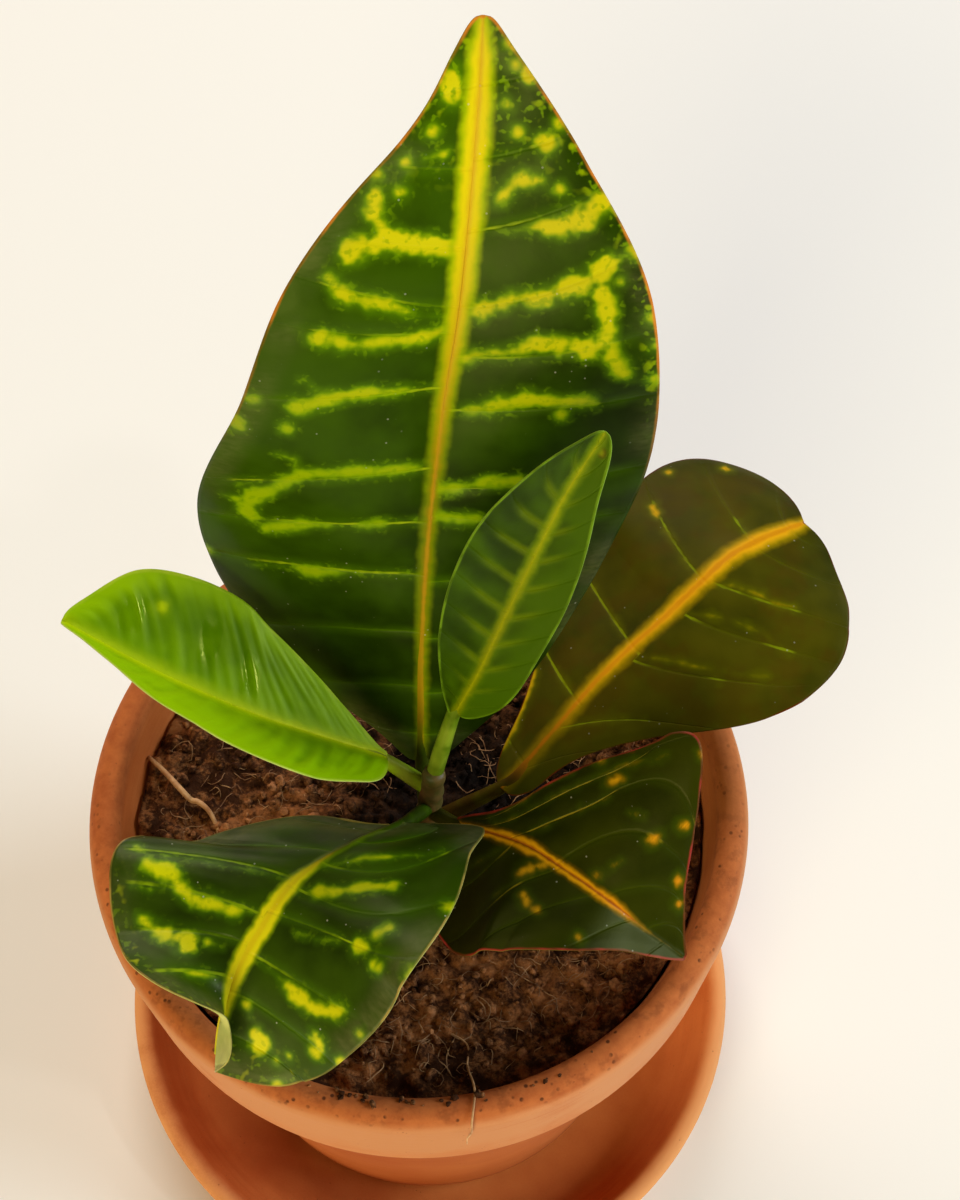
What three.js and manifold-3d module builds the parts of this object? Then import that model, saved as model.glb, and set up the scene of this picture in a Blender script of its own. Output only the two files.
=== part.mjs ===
import * as THREE from 'three';
import Module from 'manifold-3d';
import { mergeVertices } from 'three/addons/utils/BufferGeometryUtils.js';

// Young croton in a round clay pot that stands in its own saucer.
// Millimetres, Z up. The origin is the centre of the saucer's underside.
// The viewer of the photograph stands on the -Y side and looks down.

// Saucer
const SAUCER_TURNS = 64;
const SAUCER_FOOT_RADIUS = 56;
const SAUCER_RIM_RADIUS = 66;
const SAUCER_WALL = 4.5;
const SAUCER_FLOOR = 5;
const SAUCER_HEIGHT = 15.5;

// Pot
const POT_TURNS = 64;
const POT_FOOT_RADIUS = 42;
const POT_HOLE_RADIUS = 7;
const POT_FLOOR_THICKNESS = 6;
const COLLAR_BOTTOM = 88;
const BODY_TOP_RADIUS = 54.5;
const COLLAR_BOTTOM_RADIUS = 58.3;
const LIP_HEIGHT = 112.5;
const LIP_RADIUS = 60;
const POT_TOP = 116;
const POT_MOUTH_RADIUS = 54.3;
const POT_INSIDE_AT_COLLAR = 50;
const POT_INSIDE_AT_FLOOR = 37;

// Soil
const SOIL_TURNS = 48;
const SOIL_LEVEL = 105;
const SOIL_LUMP = 1.4;
const SOIL_GAP = 0.3;
const SOIL_RINGS = 11;
const STEM_HOLE_FLOOR = 92;

// Stem
const STEM_PATH = [[1, -2, 92], [1, -2, 106], [2, -1.6, 118], [3, -1, 129.5]];
const STEM_RADII = [2.6, 2.4, 2.1, 1.9];
const STEM_SIDES = 14;
const STEM_GAP = 0.3;

// Leaves. Widths, folds, curls and sweeps are given at nine places from the base to the tip,
// which stand closer together at both ends of the midrib.
// A width is half the blade, from midrib to margin. A fold lifts the half blade out of the flat, in degrees.
// A curl adds to the fold towards the margin, in degrees. A sweep carries the margin towards the tip.
// Left and right are as seen from the base, with the upper face up.
const BLADE_THICKNESS = 0.7;
const BLADE_ROWS = 22;
const BLADE_COLUMNS = 10;
const NARROWEST_HALF = 0.6;
const MIDRIB_SIDES = 8;

const UPRIGHT = {
  facing: [0, -1, 0.3],
  midrib: [[1, 5, 121], [3, 19, 156], [7, 31.5, 188], [11, 41, 209], [14.5, 54.5, 233], [16, 62.5, 246]],
  stalk: [[1.6, -1.5, 110], [1.4, 2.6, 116]],
  stalkRadius: 1.7,
  leftWidth: [1, 8, 26, 39, 31.5, 25.8, 10.8, 4.2, 0.8],
  rightWidth: [1, 8, 20, 29, 34, 29.2, 16, 5.2, 0.8],
  leftFold: [0, -5, -12, -5, 10, 15, 15, 15, 10],
  rightFold: [15, 15, 12, 12, 15, 20, 15, 15, 10],
  leftCurl: [-20, -20, -20, -20, -20, -20, -10, 0, 0],
  rightCurl: [-20, -20, -20, -20, -20, -20, -10, 0, 0],
  leftSweep: [0.1, 0.1, -0.15, 0.05, 0.2, 0.1, 0.25, 0, 0],
  rightSweep: [0.1, 0.1, 0.1, 0.1, 0.1, 0.1, 0.1, 0.1, 0.1],
};

const YOUNG_UPRIGHT = {
  facing: [0.1, -1, 0.3],
  midrib: [
    [7, 4, 142], [11.4, 5.3, 155.4], [16, 8.6, 168.4],
    [20.8, 12.1, 181.2], [25.4, 14.7, 194.5], [30.9, 17.4, 206],
  ],
  stalk: [[2.8, -1, 127], [4.4, 0.8, 134]],
  stalkRadius: 1.5,
  leftWidth: [0.8, 2.5, 6, 10.3, 12.6, 12, 7.5, 3, 0.8],
  rightWidth: [0.8, 4, 7, 8.2, 8.6, 7.2, 4.8, 2.6, 0.8],
  leftFold: [10, 5, 5, 5, 5, 5, 5, 5, 5],
  rightFold: [35, 35, 35, 35, 35, 35, 35, 35, 35],
  leftCurl: [10, 10, 10, 10, 10, 10, 10, 10, 10],
  rightCurl: [15, 15, 15, 15, 15, 15, 15, 15, 15],
  leftSweep: [0.15, 0.15, 0.15, 0.15, 0.15, 0.15, 0.15, 0.15, 0.15],
  rightSweep: [0.15, 0.15, 0.15, 0.15, 0.15, 0.15, 0.15, 0.15, 0.15],
};

const YOUNG_LEFT = {
  facing: [0, 0, 1],
  midrib: [
    [-5.2, 2, 130], [-15, 3.3, 136], [-26, 5.1, 142.6],
    [-35.8, 7.8, 148.4], [-45.2, 11, 154], [-56.9, 15.8, 161.6],
  ],
  stalk: [[2.4, -1.3, 122], [-1.2, 0.6, 124.6]],
  stalkRadius: 1.5,
  leftWidth: [0.8, 9.5, 14.5, 20.5, 20, 14.5, 8, 3, 0.6],
  rightWidth: [0.8, 2, 6.8, 14.6, 17.4, 17.2, 13.8, 5.4, 0.6],
  leftFold: [40, 40, 40, 45, 50, 51, 54, 55, 50],
  rightFold: [20, 20, 20, 20, 20, 20, 20, 20, 20],
  leftCurl: [0, 0, 0, 0, 0, 0, 0, 0, 0],
  rightCurl: [0, 0, 0, 0, 0, 0, 0, 0, 0],
  leftSweep: [0.15, 0.15, 0.15, 0.15, 0.15, 0.15, 0.15, 0.15, 0.15],
  rightSweep: [0.15, 0.15, 0.25, 0.45, 0.25, 0.15, 0.15, 0.15, 0.15],
};

const OLIVE_RIGHT = {
  facing: [0, 0, 1],
  midrib: [[15, 0, 118], [33, 13, 128], [48.5, 23, 135], [60, 34, 138], [74, 42, 134]],
  stalk: [[1.6, -1.6, 108.6], [8.5, -0.6, 113]],
  stalkRadius: 1.5,
  leftWidth: [1, 5, 9, 17, 22, 24.5, 25, 10, 0.6],
  rightWidth: [1, 4, 6, 13, 23.5, 27, 18.5, 9, 0.6],
  leftFold: [-8, -8, -8, -8, -8, -8, -8, -8, -8],
  rightFold: [-5, -5, -5, -5, -5, -5, -5, -5, -5],
  leftCurl: [-10, -10, -10, -10, -10, -10, -10, -10, -10],
  rightCurl: [-10, -10, -10, -10, -10, -10, -10, -10, -10],
  leftSweep: [0.1, 0.1, 0.15, 0.2, 0.1, 0.2, 0.2, 0.6, 0.6],
  rightSweep: [0, 0, 0.3, 0.2, 0.25, 0.1, 0.45, 0.4, 0.4],
};

const LOW_RIGHT = {
  facing: [0, 0, 1],
  midrib: [
    [6.2, -6.5, 119], [17.1, -14.3, 126.5], [23.2, -19.9, 128.7],
    [30, -26, 129], [37.5, -31, 124], [44, -34.5, 119],
  ],
  stalk: [[1.8, -1.8, 114.5], [3.6, -4.2, 117]],
  stalkRadius: 1.4,
  leftWidth: [0.8, 2, 5, 13, 31.5, 18.5, 9, 2.5, 0.6],
  rightWidth: [0.8, 13, 21, 21.5, 17, 8, 4, 1.5, 0.6],
  leftFold: [30, 30, 30, 30, 30, 30, 30, 30, 30],
  rightFold: [-25, -25, -20, -4, 3, 8, 10, 10, 10],
  leftCurl: [0, 0, 0, 0, 0, 0, 0, 0, 0],
  rightCurl: [0, 0, 0, 0, 0, 0, 0, 0, 0],
  leftSweep: [0.3, 0.3, 0.5, 0.15, 0.2, 0.1, 0, 0, 0],
  rightSweep: [-0.3, -0.3, 0, 0.2, 0.1, 0.2, 0.1, 0.2, 0.2],
};

const LOW_LEFT = {
  facing: [0, 0, 1],
  midrib: [
    [-3, -9, 126], [-9.7, -12.8, 129.6], [-16.5, -17, 132.5], [-23.2, -22.2, 133],
    [-28.4, -28.5, 130.8], [-32.7, -35, 127.3], [-35.6, -41.5, 122.6], [-37, -48.5, 118.4],
  ],
  stalk: [[1.8, -1.8, 117], [-0.4, -5.4, 121]],
  stalkRadius: 1.4,
  leftWidth: [0.8, 8.5, 16, 27.8, 28.2, 23.2, 16.8, 11.5, 0.6],
  rightWidth: [0.8, 1.5, 12, 22, 29, 18.5, 6, 7, 0.6],
  leftFold: [28, 30, 30, 20, 10, 5, 5, 5, 5],
  rightFold: [0, -20, -30, -25, 0, 15, 110, 115, 90],
  leftCurl: [0, 0, 0, 0, 0, 0, 0, 0, 0],
  rightCurl: [0, 0, 0, 0, 0, 0, 0, 0, 0],
  leftSweep: [-1.45, -1.45, -0.65, -0.08, 0.1, 0.25, 0.35, 0.3, 0.2],
  rightSweep: [0.6, 0.6, 0.1, 0.6, 0.2, 0.3, -0.4, -0.2, -0.2],
};

const wasm = await Module();
wasm.setup();

const toVector = (p) => new THREE.Vector3(p[0], p[1], p[2]);
const lerp = (a, b, t) => a + (b - a) * t;

// A smooth curve through evenly numbered values, at share t of their count.
function smoothValue(values, t) {
  const last = values.length - 1;
  const x = Math.min(Math.max(t, 0), 1) * last;
  const i = Math.min(Math.floor(x), last - 1);
  const f = x - i;
  const b = values[i];
  const c = values[i + 1];
  const a = i > 0 ? values[i - 1] : 2 * b - c;
  const d = i + 2 <= last ? values[i + 2] : 2 * c - b;
  const square = (2 * a - 5 * b + 4 * c - d) * f * f;
  const cube = (3 * b - a - 3 * c + d) * f * f * f;
  return 0.5 * (2 * b + (c - a) * f + square + cube);
}

function smoothPoint(points, t) {
  return new THREE.Vector3(
    smoothValue(points.map((p) => p[0]), t),
    smoothValue(points.map((p) => p[1]), t),
    smoothValue(points.map((p) => p[2]), t),
  );
}

// The curve through the points, measured so that it can be walked by share of its length.
function measured(points) {
  const steps = 400;
  const places = [];
  const lengths = [0];
  for (let i = 0; i <= steps; i++) {
    places.push(smoothPoint(points, i / steps));
    if (i > 0) lengths.push(lengths[i - 1] + places[i].distanceTo(places[i - 1]));
  }
  const total = lengths[steps];
  return (share) => {
    const want = Math.min(Math.max(share, 0), 1) * total;
    let i = 1;
    while (i < steps && lengths[i] < want) i++;
    const f = (want - lengths[i - 1]) / (lengths[i] - lengths[i - 1]);
    return smoothPoint(points, (i - 1 + f) / steps);
  };
}

// The value of a nine place list at share u of the midrib.
const atStation = (list, u) => smoothValue(list, Math.acos(1 - 2 * Math.min(Math.max(u, 0), 1)) / Math.PI);

function solidFrom(geometry) {
  geometry.deleteAttribute('normal');
  geometry.deleteAttribute('uv');
  const merged = mergeVertices(geometry, 1e-4);
  return new wasm.Manifold(new wasm.Mesh({
    numProp: 3,
    vertProperties: new Float32Array(merged.attributes.position.array),
    triVerts: new Uint32Array(merged.index.array),
  }));
}

function geometryFrom(solid) {
  const mesh = solid.getMesh();
  const geometry = new THREE.BufferGeometry();
  geometry.setAttribute('position', new THREE.BufferAttribute(new Float32Array(mesh.vertProperties), 3));
  geometry.setIndex(new THREE.BufferAttribute(new Uint32Array(mesh.triVerts), 1));
  return geometry;
}

function geometryOf(vertices, triangles) {
  const geometry = new THREE.BufferGeometry();
  const places = vertices.flatMap((v) => [v.x, v.y, v.z]);
  geometry.setAttribute('position', new THREE.Float32BufferAttribute(places, 3));
  geometry.setIndex(triangles.flat());
  return geometry;
}

// A turned piece about the Z axis. The profile lists radius and height.
// It starts and ends on the axis, or closes on itself.
function turned(profile, turns) {
  const points = profile.map((p) => new THREE.Vector2(p[0], p[1]));
  return new THREE.LatheGeometry(points, turns).rotateX(Math.PI / 2);
}

// A round rod through the centres, with its own radius at each centre.
function rod(centres, radii, sides) {
  const vertices = [];
  const triangles = [];
  let across = null;
  centres.forEach((centre, i) => {
    const before = centres[Math.max(i - 1, 0)];
    const after = centres[Math.min(i + 1, centres.length - 1)];
    const along = after.clone().sub(before).normalize();
    if (!across) across = Math.abs(along.x) < 0.9 ? new THREE.Vector3(1, 0, 0) : new THREE.Vector3(0, 1, 0);
    across = across.clone().addScaledVector(along, -across.dot(along)).normalize();
    const beside = along.clone().cross(across);
    for (let k = 0; k < sides; k++) {
      const turn = (2 * Math.PI * k) / sides;
      const spoke = across.clone().multiplyScalar(Math.cos(turn)).addScaledVector(beside, Math.sin(turn));
      vertices.push(centre.clone().addScaledVector(spoke, radii[i]));
    }
  });
  const rings = centres.length;
  for (let i = 0; i + 1 < rings; i++) {
    for (let k = 0; k < sides; k++) {
      const a = i * sides + k;
      const b = i * sides + ((k + 1) % sides);
      triangles.push([a, b, b + sides], [a, b + sides, a + sides]);
    }
  }
  const first = vertices.length;
  vertices.push(centres[0].clone(), centres[rings - 1].clone());
  for (let k = 0; k < sides; k++) {
    const next = (k + 1) % sides;
    triangles.push([first, next, k]);
    triangles.push([first + 1, (rings - 1) * sides + k, (rings - 1) * sides + next]);
  }
  return geometryOf(vertices, triangles);
}

// The middle surface of a blade. Share u runs from base to tip, and v from -1 at the left margin to 1 at the right.
function bladeSurface(leaf) {
  const walk = measured(leaf.midrib);
  const facing = toVector(leaf.facing);
  const frameAt = (u) => {
    const step = 1e-3;
    const middle = walk(u);
    const along = walk(Math.min(u + step, 1)).sub(walk(Math.max(u - step, 0))).normalize();
    const up = facing.clone().addScaledVector(along, -facing.dot(along)).normalize();
    const right = along.clone().cross(up);
    return { middle, along, up, right };
  };
  const pointAt = (u, v) => {
    const { middle, along, up, right } = frameAt(u);
    const onRight = v > 0;
    const out = Math.abs(v);
    const width = Math.max(NARROWEST_HALF, atStation(onRight ? leaf.rightWidth : leaf.leftWidth, u));
    const fold = atStation(onRight ? leaf.rightFold : leaf.leftFold, u);
    const curl = atStation(onRight ? leaf.rightCurl : leaf.leftCurl, u);
    const sweep = atStation(onRight ? leaf.rightSweep : leaf.leftSweep, u);
    const angle = THREE.MathUtils.degToRad(fold + (curl * out) / 2);
    return middle
      .addScaledVector(right, (onRight ? 1 : -1) * width * out * Math.cos(angle))
      .addScaledVector(up, width * out * Math.sin(angle))
      .addScaledVector(along, sweep * width * Math.pow(out, 1.5));
  };
  return { frameAt, pointAt };
}

// A blade of even thickness, split into the same triangles on both faces.
function blade(leaf) {
  const { pointAt } = bladeSurface(leaf);
  const rows = BLADE_ROWS;
  const columns = BLADE_COLUMNS;
  const middle = [];
  for (let i = 0; i <= rows; i++) {
    const u = (1 - Math.cos((Math.PI * i) / rows)) / 2;
    middle.push([]);
    for (let j = 0; j <= columns; j++) middle[i].push(pointAt(u, (2 * j) / columns - 1));
  }
  const faceNormal = (i, j) => {
    const along = middle[i + 1][j].clone().add(middle[i + 1][j + 1]).sub(middle[i][j]).sub(middle[i][j + 1]);
    const across = middle[i][j + 1].clone().add(middle[i + 1][j + 1]).sub(middle[i][j]).sub(middle[i + 1][j]);
    return across.cross(along).normalize();
  };
  const upper = [];
  const lower = [];
  for (let i = 0; i <= rows; i++) {
    for (let j = 0; j <= columns; j++) {
      const around = [];
      for (const a of [i - 1, i]) {
        for (const b of [j - 1, j]) {
          if (a >= 0 && a < rows && b >= 0 && b < columns) around.push(faceNormal(a, b));
        }
      }
      const normal = around.reduce((sum, n) => sum.add(n), new THREE.Vector3()).normalize();
      const lean = Math.max(0.5, Math.min(...around.map((n) => n.dot(normal))));
      upper.push(middle[i][j].clone().addScaledVector(normal, BLADE_THICKNESS / 2 / lean));
      lower.push(middle[i][j].clone().addScaledVector(normal, -BLADE_THICKNESS / 2 / lean));
    }
  }
  const count = upper.length;
  const at = (i, j) => i * (columns + 1) + j;
  const triangles = [];
  for (let i = 0; i < rows; i++) {
    for (let j = 0; j < columns; j++) {
      const [a, b, c, d] = [at(i, j), at(i, j + 1), at(i + 1, j + 1), at(i + 1, j)];
      triangles.push([a, b, c], [a, c, d]);
      triangles.push([count + a, count + c, count + b], [count + a, count + d, count + c]);
    }
  }
  const wall = (a, b) => triangles.push([a, count + a, count + b], [a, count + b, b]);
  for (let i = 0; i < rows; i++) {
    wall(at(i + 1, 0), at(i, 0));
    wall(at(i, columns), at(i + 1, columns));
  }
  for (let j = 0; j < columns; j++) {
    wall(at(0, j), at(0, j + 1));
    wall(at(rows, j + 1), at(rows, j));
  }
  return geometryOf(upper.concat(lower), triangles);
}

// The leaf stalk, which runs on under the blade as the midrib and thins towards the tip.
function stalkAndMidrib(leaf) {
  const { frameAt } = bladeSurface(leaf);
  const centres = leaf.stalk.map(toVector);
  const radii = leaf.stalk.map(() => leaf.stalkRadius);
  for (const u of [0.02, 0.1, 0.2, 0.32, 0.45, 0.58, 0.7, 0.8, 0.88]) {
    const { middle, up } = frameAt(u);
    const radius = lerp(leaf.stalkRadius * 0.85, 0.55, Math.sqrt(u));
    centres.push(middle.addScaledVector(up, -0.45 * radius));
    radii.push(radius);
  }
  return rod(centres, radii, MIDRIB_SIDES);
}

const stemCentres = STEM_PATH.map(toVector);
const aroundStem = solidFrom(rod(stemCentres, STEM_RADII.map((r) => r + STEM_GAP), STEM_SIDES));

function leafSolid(leaf) {
  return solidFrom(blade(leaf)).add(solidFrom(stalkAndMidrib(leaf))).subtract(aroundStem);
}

// Lumps of the soil surface.
function soilHeight(x, y) {
  const broad = Math.sin(x * 0.11 + 1.3) * Math.cos(y * 0.13 - 0.4);
  const clods = Math.sin(x * 0.37 + 2.1 * Math.sin(y * 0.19)) * Math.sin(y * 0.41 + 1.7 * Math.sin(x * 0.23));
  return SOIL_LEVEL + SOIL_LUMP * (0.55 * broad + 0.45 * clods);
}

// Soil that fills the pot up to its lumpy surface.
function soilSolid() {
  const sides = SOIL_TURNS;
  const floor = SAUCER_FLOOR + POT_FLOOR_THICKNESS;
  const slope = (POT_INSIDE_AT_COLLAR - POT_INSIDE_AT_FLOOR) / (COLLAR_BOTTOM - floor);
  const inside = (z) => (z <= COLLAR_BOTTOM
    ? POT_INSIDE_AT_FLOOR + slope * (z - floor)
    : lerp(POT_INSIDE_AT_COLLAR, POT_MOUTH_RADIUS, (z - COLLAR_BOTTOM) / (POT_TOP - COLLAR_BOTTOM)));
  const vertices = [new THREE.Vector3(0, 0, soilHeight(0, 0))];
  const triangles = [];
  const edge = inside(SOIL_LEVEL - SOIL_LUMP) - SOIL_GAP - 0.4;
  for (let ring = 1; ring <= SOIL_RINGS; ring++) {
    for (let k = 0; k < sides; k++) {
      const turn = (2 * Math.PI * k) / sides;
      const radius = (edge * ring) / SOIL_RINGS;
      const x = radius * Math.cos(turn);
      const y = radius * Math.sin(turn);
      vertices.push(new THREE.Vector3(x, y, soilHeight(x, y)));
    }
  }
  for (const z of [COLLAR_BOTTOM, floor]) {
    for (let k = 0; k < sides; k++) {
      const turn = (2 * Math.PI * k) / sides;
      const radius = inside(z) - SOIL_GAP - 0.2;
      vertices.push(new THREE.Vector3(radius * Math.cos(turn), radius * Math.sin(turn), z));
    }
  }
  const under = vertices.length;
  vertices.push(new THREE.Vector3(0, 0, floor));
  for (let k = 0; k < sides; k++) triangles.push([0, 1 + k, 1 + ((k + 1) % sides)]);
  for (let ring = 0; ring < SOIL_RINGS + 1; ring++) {
    for (let k = 0; k < sides; k++) {
      const a = 1 + ring * sides + k;
      const b = 1 + ring * sides + ((k + 1) % sides);
      triangles.push([a, a + sides, b + sides], [a, b + sides, b]);
    }
  }
  const foot = 1 + (SOIL_RINGS + 1) * sides;
  for (let k = 0; k < sides; k++) triangles.push([under, foot + ((k + 1) % sides), foot + k]);
  const hole = STEM_RADII[0] + STEM_GAP;
  const [x, y] = STEM_PATH[0];
  const drill = rod(
    [new THREE.Vector3(x, y, STEM_HOLE_FLOOR), new THREE.Vector3(x, y, SOIL_LEVEL + 8)],
    [hole, hole],
    STEM_SIDES,
  );
  return solidFrom(geometryOf(vertices, triangles)).subtract(solidFrom(drill));
}

const saucerProfile = [
  [0, 0],
  [SAUCER_FOOT_RADIUS, 0],
  [SAUCER_FOOT_RADIUS + 2, 1],
  [SAUCER_RIM_RADIUS - 0.6, SAUCER_HEIGHT - 3],
  [SAUCER_RIM_RADIUS, SAUCER_HEIGHT - 1.5],
  [SAUCER_RIM_RADIUS - 0.8, SAUCER_HEIGHT - 0.3],
  [SAUCER_RIM_RADIUS - 2.2, SAUCER_HEIGHT],
  [SAUCER_RIM_RADIUS - SAUCER_WALL + 0.8, SAUCER_HEIGHT - 0.4],
  [SAUCER_RIM_RADIUS - SAUCER_WALL, SAUCER_HEIGHT - 1.6],
  [SAUCER_RIM_RADIUS - SAUCER_WALL - 4, SAUCER_FLOOR + 2],
  [SAUCER_RIM_RADIUS - SAUCER_WALL - 6.5, SAUCER_FLOOR],
  [0, SAUCER_FLOOR],
];

const potProfile = [
  [POT_HOLE_RADIUS, SAUCER_FLOOR],
  [POT_FOOT_RADIUS, SAUCER_FLOOR],
  [POT_FOOT_RADIUS + 1.2, SAUCER_FLOOR + 1.5],
  [BODY_TOP_RADIUS, COLLAR_BOTTOM + 0.5],
  [COLLAR_BOTTOM_RADIUS - 1.2, COLLAR_BOTTOM],
  [COLLAR_BOTTOM_RADIUS, COLLAR_BOTTOM + 1.4],
  [LIP_RADIUS - 0.2, LIP_HEIGHT - 2.5],
  [LIP_RADIUS, LIP_HEIGHT],
  [LIP_RADIUS - 0.6, LIP_HEIGHT + 1.9],
  [LIP_RADIUS - 1.9, POT_TOP - 0.3],
  [LIP_RADIUS - 3.3, POT_TOP],
  [POT_MOUTH_RADIUS + 0.9, POT_TOP - 0.4],
  [POT_MOUTH_RADIUS, POT_TOP - 1.6],
  [POT_INSIDE_AT_COLLAR, COLLAR_BOTTOM],
  [POT_INSIDE_AT_FLOOR, SAUCER_FLOOR + POT_FLOOR_THICKNESS],
  [POT_HOLE_RADIUS, SAUCER_FLOOR + POT_FLOOR_THICKNESS],
  [POT_HOLE_RADIUS, SAUCER_FLOOR],
];

const croton = new THREE.Group();
croton.name = 'potted_croton';

function addPiece(name, geometry, color, roughness) {
  const material = new THREE.MeshStandardMaterial({ color, roughness, metalness: 0 });
  const mesh = new THREE.Mesh(geometry, material);
  mesh.name = name;
  croton.add(mesh);
}

addPiece('saucer', turned(saucerProfile, SAUCER_TURNS), 0xb4683f, 0.85);
addPiece('terracotta_pot', turned(potProfile, POT_TURNS), 0xc07a4e, 0.85);
addPiece('soil', geometryFrom(soilSolid()), 0x3a281d, 1);
addPiece('stem', rod(stemCentres, STEM_RADII, STEM_SIDES), 0x5c6b2c, 0.6);
addPiece('leaf_upright', geometryFrom(leafSolid(UPRIGHT)), 0x23451a, 0.35);
addPiece('leaf_young_upright', geometryFrom(leafSolid(YOUNG_UPRIGHT)), 0x4f8a26, 0.35);
addPiece('leaf_young_left', geometryFrom(leafSolid(YOUNG_LEFT)), 0x6ea31f, 0.3);
addPiece('leaf_right', geometryFrom(leafSolid(OLIVE_RIGHT)), 0x4a4a1a, 0.4);
addPiece('leaf_low_right', geometryFrom(leafSolid(LOW_RIGHT)), 0x25451c, 0.4);
addPiece('leaf_low_left', geometryFrom(leafSolid(LOW_LEFT)), 0x2a5420, 0.35);

export default croton;
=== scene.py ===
import itertools
import math
from functools import cached_property
from types import SimpleNamespace

import bpy
import numpy as np
from mathutils import Matrix, Vector, noise


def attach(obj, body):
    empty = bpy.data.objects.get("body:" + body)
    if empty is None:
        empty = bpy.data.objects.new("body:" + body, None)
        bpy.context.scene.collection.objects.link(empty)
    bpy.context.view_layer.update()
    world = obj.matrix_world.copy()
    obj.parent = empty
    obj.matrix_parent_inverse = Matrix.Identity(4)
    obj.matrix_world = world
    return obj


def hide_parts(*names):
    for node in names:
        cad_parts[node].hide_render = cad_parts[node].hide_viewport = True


# A young croton in a clay pot and saucer. Lengths below are in millimetres, Z up.
# Meshes are turned into metres where they are made.

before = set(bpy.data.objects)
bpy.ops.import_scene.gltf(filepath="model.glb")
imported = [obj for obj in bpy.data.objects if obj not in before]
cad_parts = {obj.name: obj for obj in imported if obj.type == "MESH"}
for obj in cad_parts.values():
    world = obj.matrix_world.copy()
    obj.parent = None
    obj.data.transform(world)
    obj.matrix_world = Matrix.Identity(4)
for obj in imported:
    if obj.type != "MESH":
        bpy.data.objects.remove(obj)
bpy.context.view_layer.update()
MM = 0.001
random = np.random.default_rng(7)

# Saucer and pot, turned about Z: radius and height of each corner
TURNS = 192
LONGEST_STEP = 6
SAUCER_PROFILE = [
    (0, 0), (56, 0), (58, 1), (65.4, 12.5), (66, 14), (65.2, 15.2), (63.8, 15.5), (62.3, 15.1), (61.5, 13.9),
    (57.5, 7), (55, 5), (0, 5),
]
POT_PROFILE = [
    (7, 5), (42, 5), (43.2, 6.5), (54.5, 88.5), (57.1, 88), (58.3, 89.4), (59.8, 110), (60, 112.5),
    (59.4, 114.4), (58.1, 115.7), (56.7, 116), (55.2, 115.6), (54.3, 114.4), (50, 88), (37, 11), (7, 11),
]
RIM_FROM = 112
SAUCER_CORNER = 1.4
POT_CORNER = 0.9

# Soil that fills the pot, with the stem's hole. Its sides are the radius and height of the lower corners, and
# the hole's heights are its floor and a ring in its wall.
SOIL_LEVEL = 105
SOIL_LUMP = 1.4
SOIL_EDGE = 52.1
SOIL_SIDES = [(49.6, 88), (36.5, 11.3)]
SOIL_RINGS = 92
SOIL_TURNS = 330
STEM_HOLE_RADIUS = 2.75
STEM_HOLE_HEIGHTS = (92, 100)
# Middle of the painted shade on the soil round the stem, in metres
SHADE_MIDDLE_M = (0.009, 0.002, 0)

# Loose things: how many, how far from the middle they reach, and how clear of the stem they stay. Crumbs on
# the rim have a bearing in degrees with its spread, and a least and greatest reach.
CRUMBS = 1800
CRUMB_REACH = 49.5
CRUMB_CLEARANCE = 6
FIBRES = 1000
FIBRE_REACH = 49
FIBRE_END_REACH = 50.5
FIBRE_CLEARANCE = 13
RIM_CRUMBS = 34
RIM_CRUMB_BEARING = (-102, 18)
RIM_CRUMB_REACH = (54.8, 56.6)

# The pale root's x, y and lift above the soil, and the thread that runs from the soil (x and y) over the rim
SURFACE_ROOT = [
    (-50.2, 16.6, 0), (-49.4, 15.4, 0.5), (-47.2, 13, 1.2), (-43.8, 8.4, 1.6), (-42.3, 7.1, 1.6),
    (-40.8, 6.4, 1.5), (-39, 4.6, 0.9), (-37.8, 2.3, 0.2), (-37.4, 0.6, -0.6),
]
HANGING_START = [(0.8, -39.9), (3.4, -40.9), (5.8, -43.4), (5.5, -47)]
HANGING_END = [
    (6.1, -51.4, 112.6), (6.3, -54.2, 115.4), (5.9, -57, 116.3), (5.4, -59.5, 114.9), (5.3, -60.3, 112.5),
    (4.6, -60.3, 109.4), (4.5, -60.6, 106.8),
]

# Stem, with the heights where leaf stalks leave it
STEM_PATH = [(1, -2, 92), (1, -2, 106), (2, -1.6, 118), (3, -1, 129.5)]
STEM_RADII = [2.6, 2.4, 2.1, 1.9]
STEM_JOINTS = [109.5, 114.5, 118.5, 122.5, 127.5]
STEM_FOOT = STEM_PATH[0][:2]

# Lights: bearing from +Y towards +X and rise in degrees, distance and size in metres, power and colour
LIGHT_AIM = (0, 0, 0.13)
LIGHTS = {
    "window": (95, 22, 2.2, 1.0, 46, (0.7, 0.83, 0.9)),
    "back": (350, 38, 2.2, 1.6, 38, (1.0, 0.89, 0.79)),
    "front": (207, 17, 2.2, 1.2, 38, (1.0, 0.88, 0.53)),
    "glint": (122, 38, 1.1, 0.06, 0.8, (1.0, 1.0, 0.95)),
}
WORLD_COLOUR = (1.0, 0.78, 0.52, 1)
WORLD_STRENGTH = 0.13
FLOOR_HALF_M = 9
CAMERA_PLACE_M = (0, -0.1535, 0.4655)
CAMERA_YAW = math.radians(4.135)
CAMERA_PITCH = math.radians(60.95)
CAMERA_LENS = 63
CAMERA_SENSOR = 36

# Leaf sheets. FAR stands in for every distance from a mark or the margin that is longer than it.
BLADE_THICKNESS = 0.5
MARGIN_THICKNESS = 0.24
NARROWEST_HALF = 0.2
FAR = 6.0


def leaf_shape(**shape):
    """A leaf's shape, with the values that most leaves share."""
    common = dict(facing=(0, 0, 1), left_curl=0, right_curl=0, rib_shift=[(0, 0), (1, 0)], strokes=[])
    return SimpleNamespace(**(common | shape))


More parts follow.
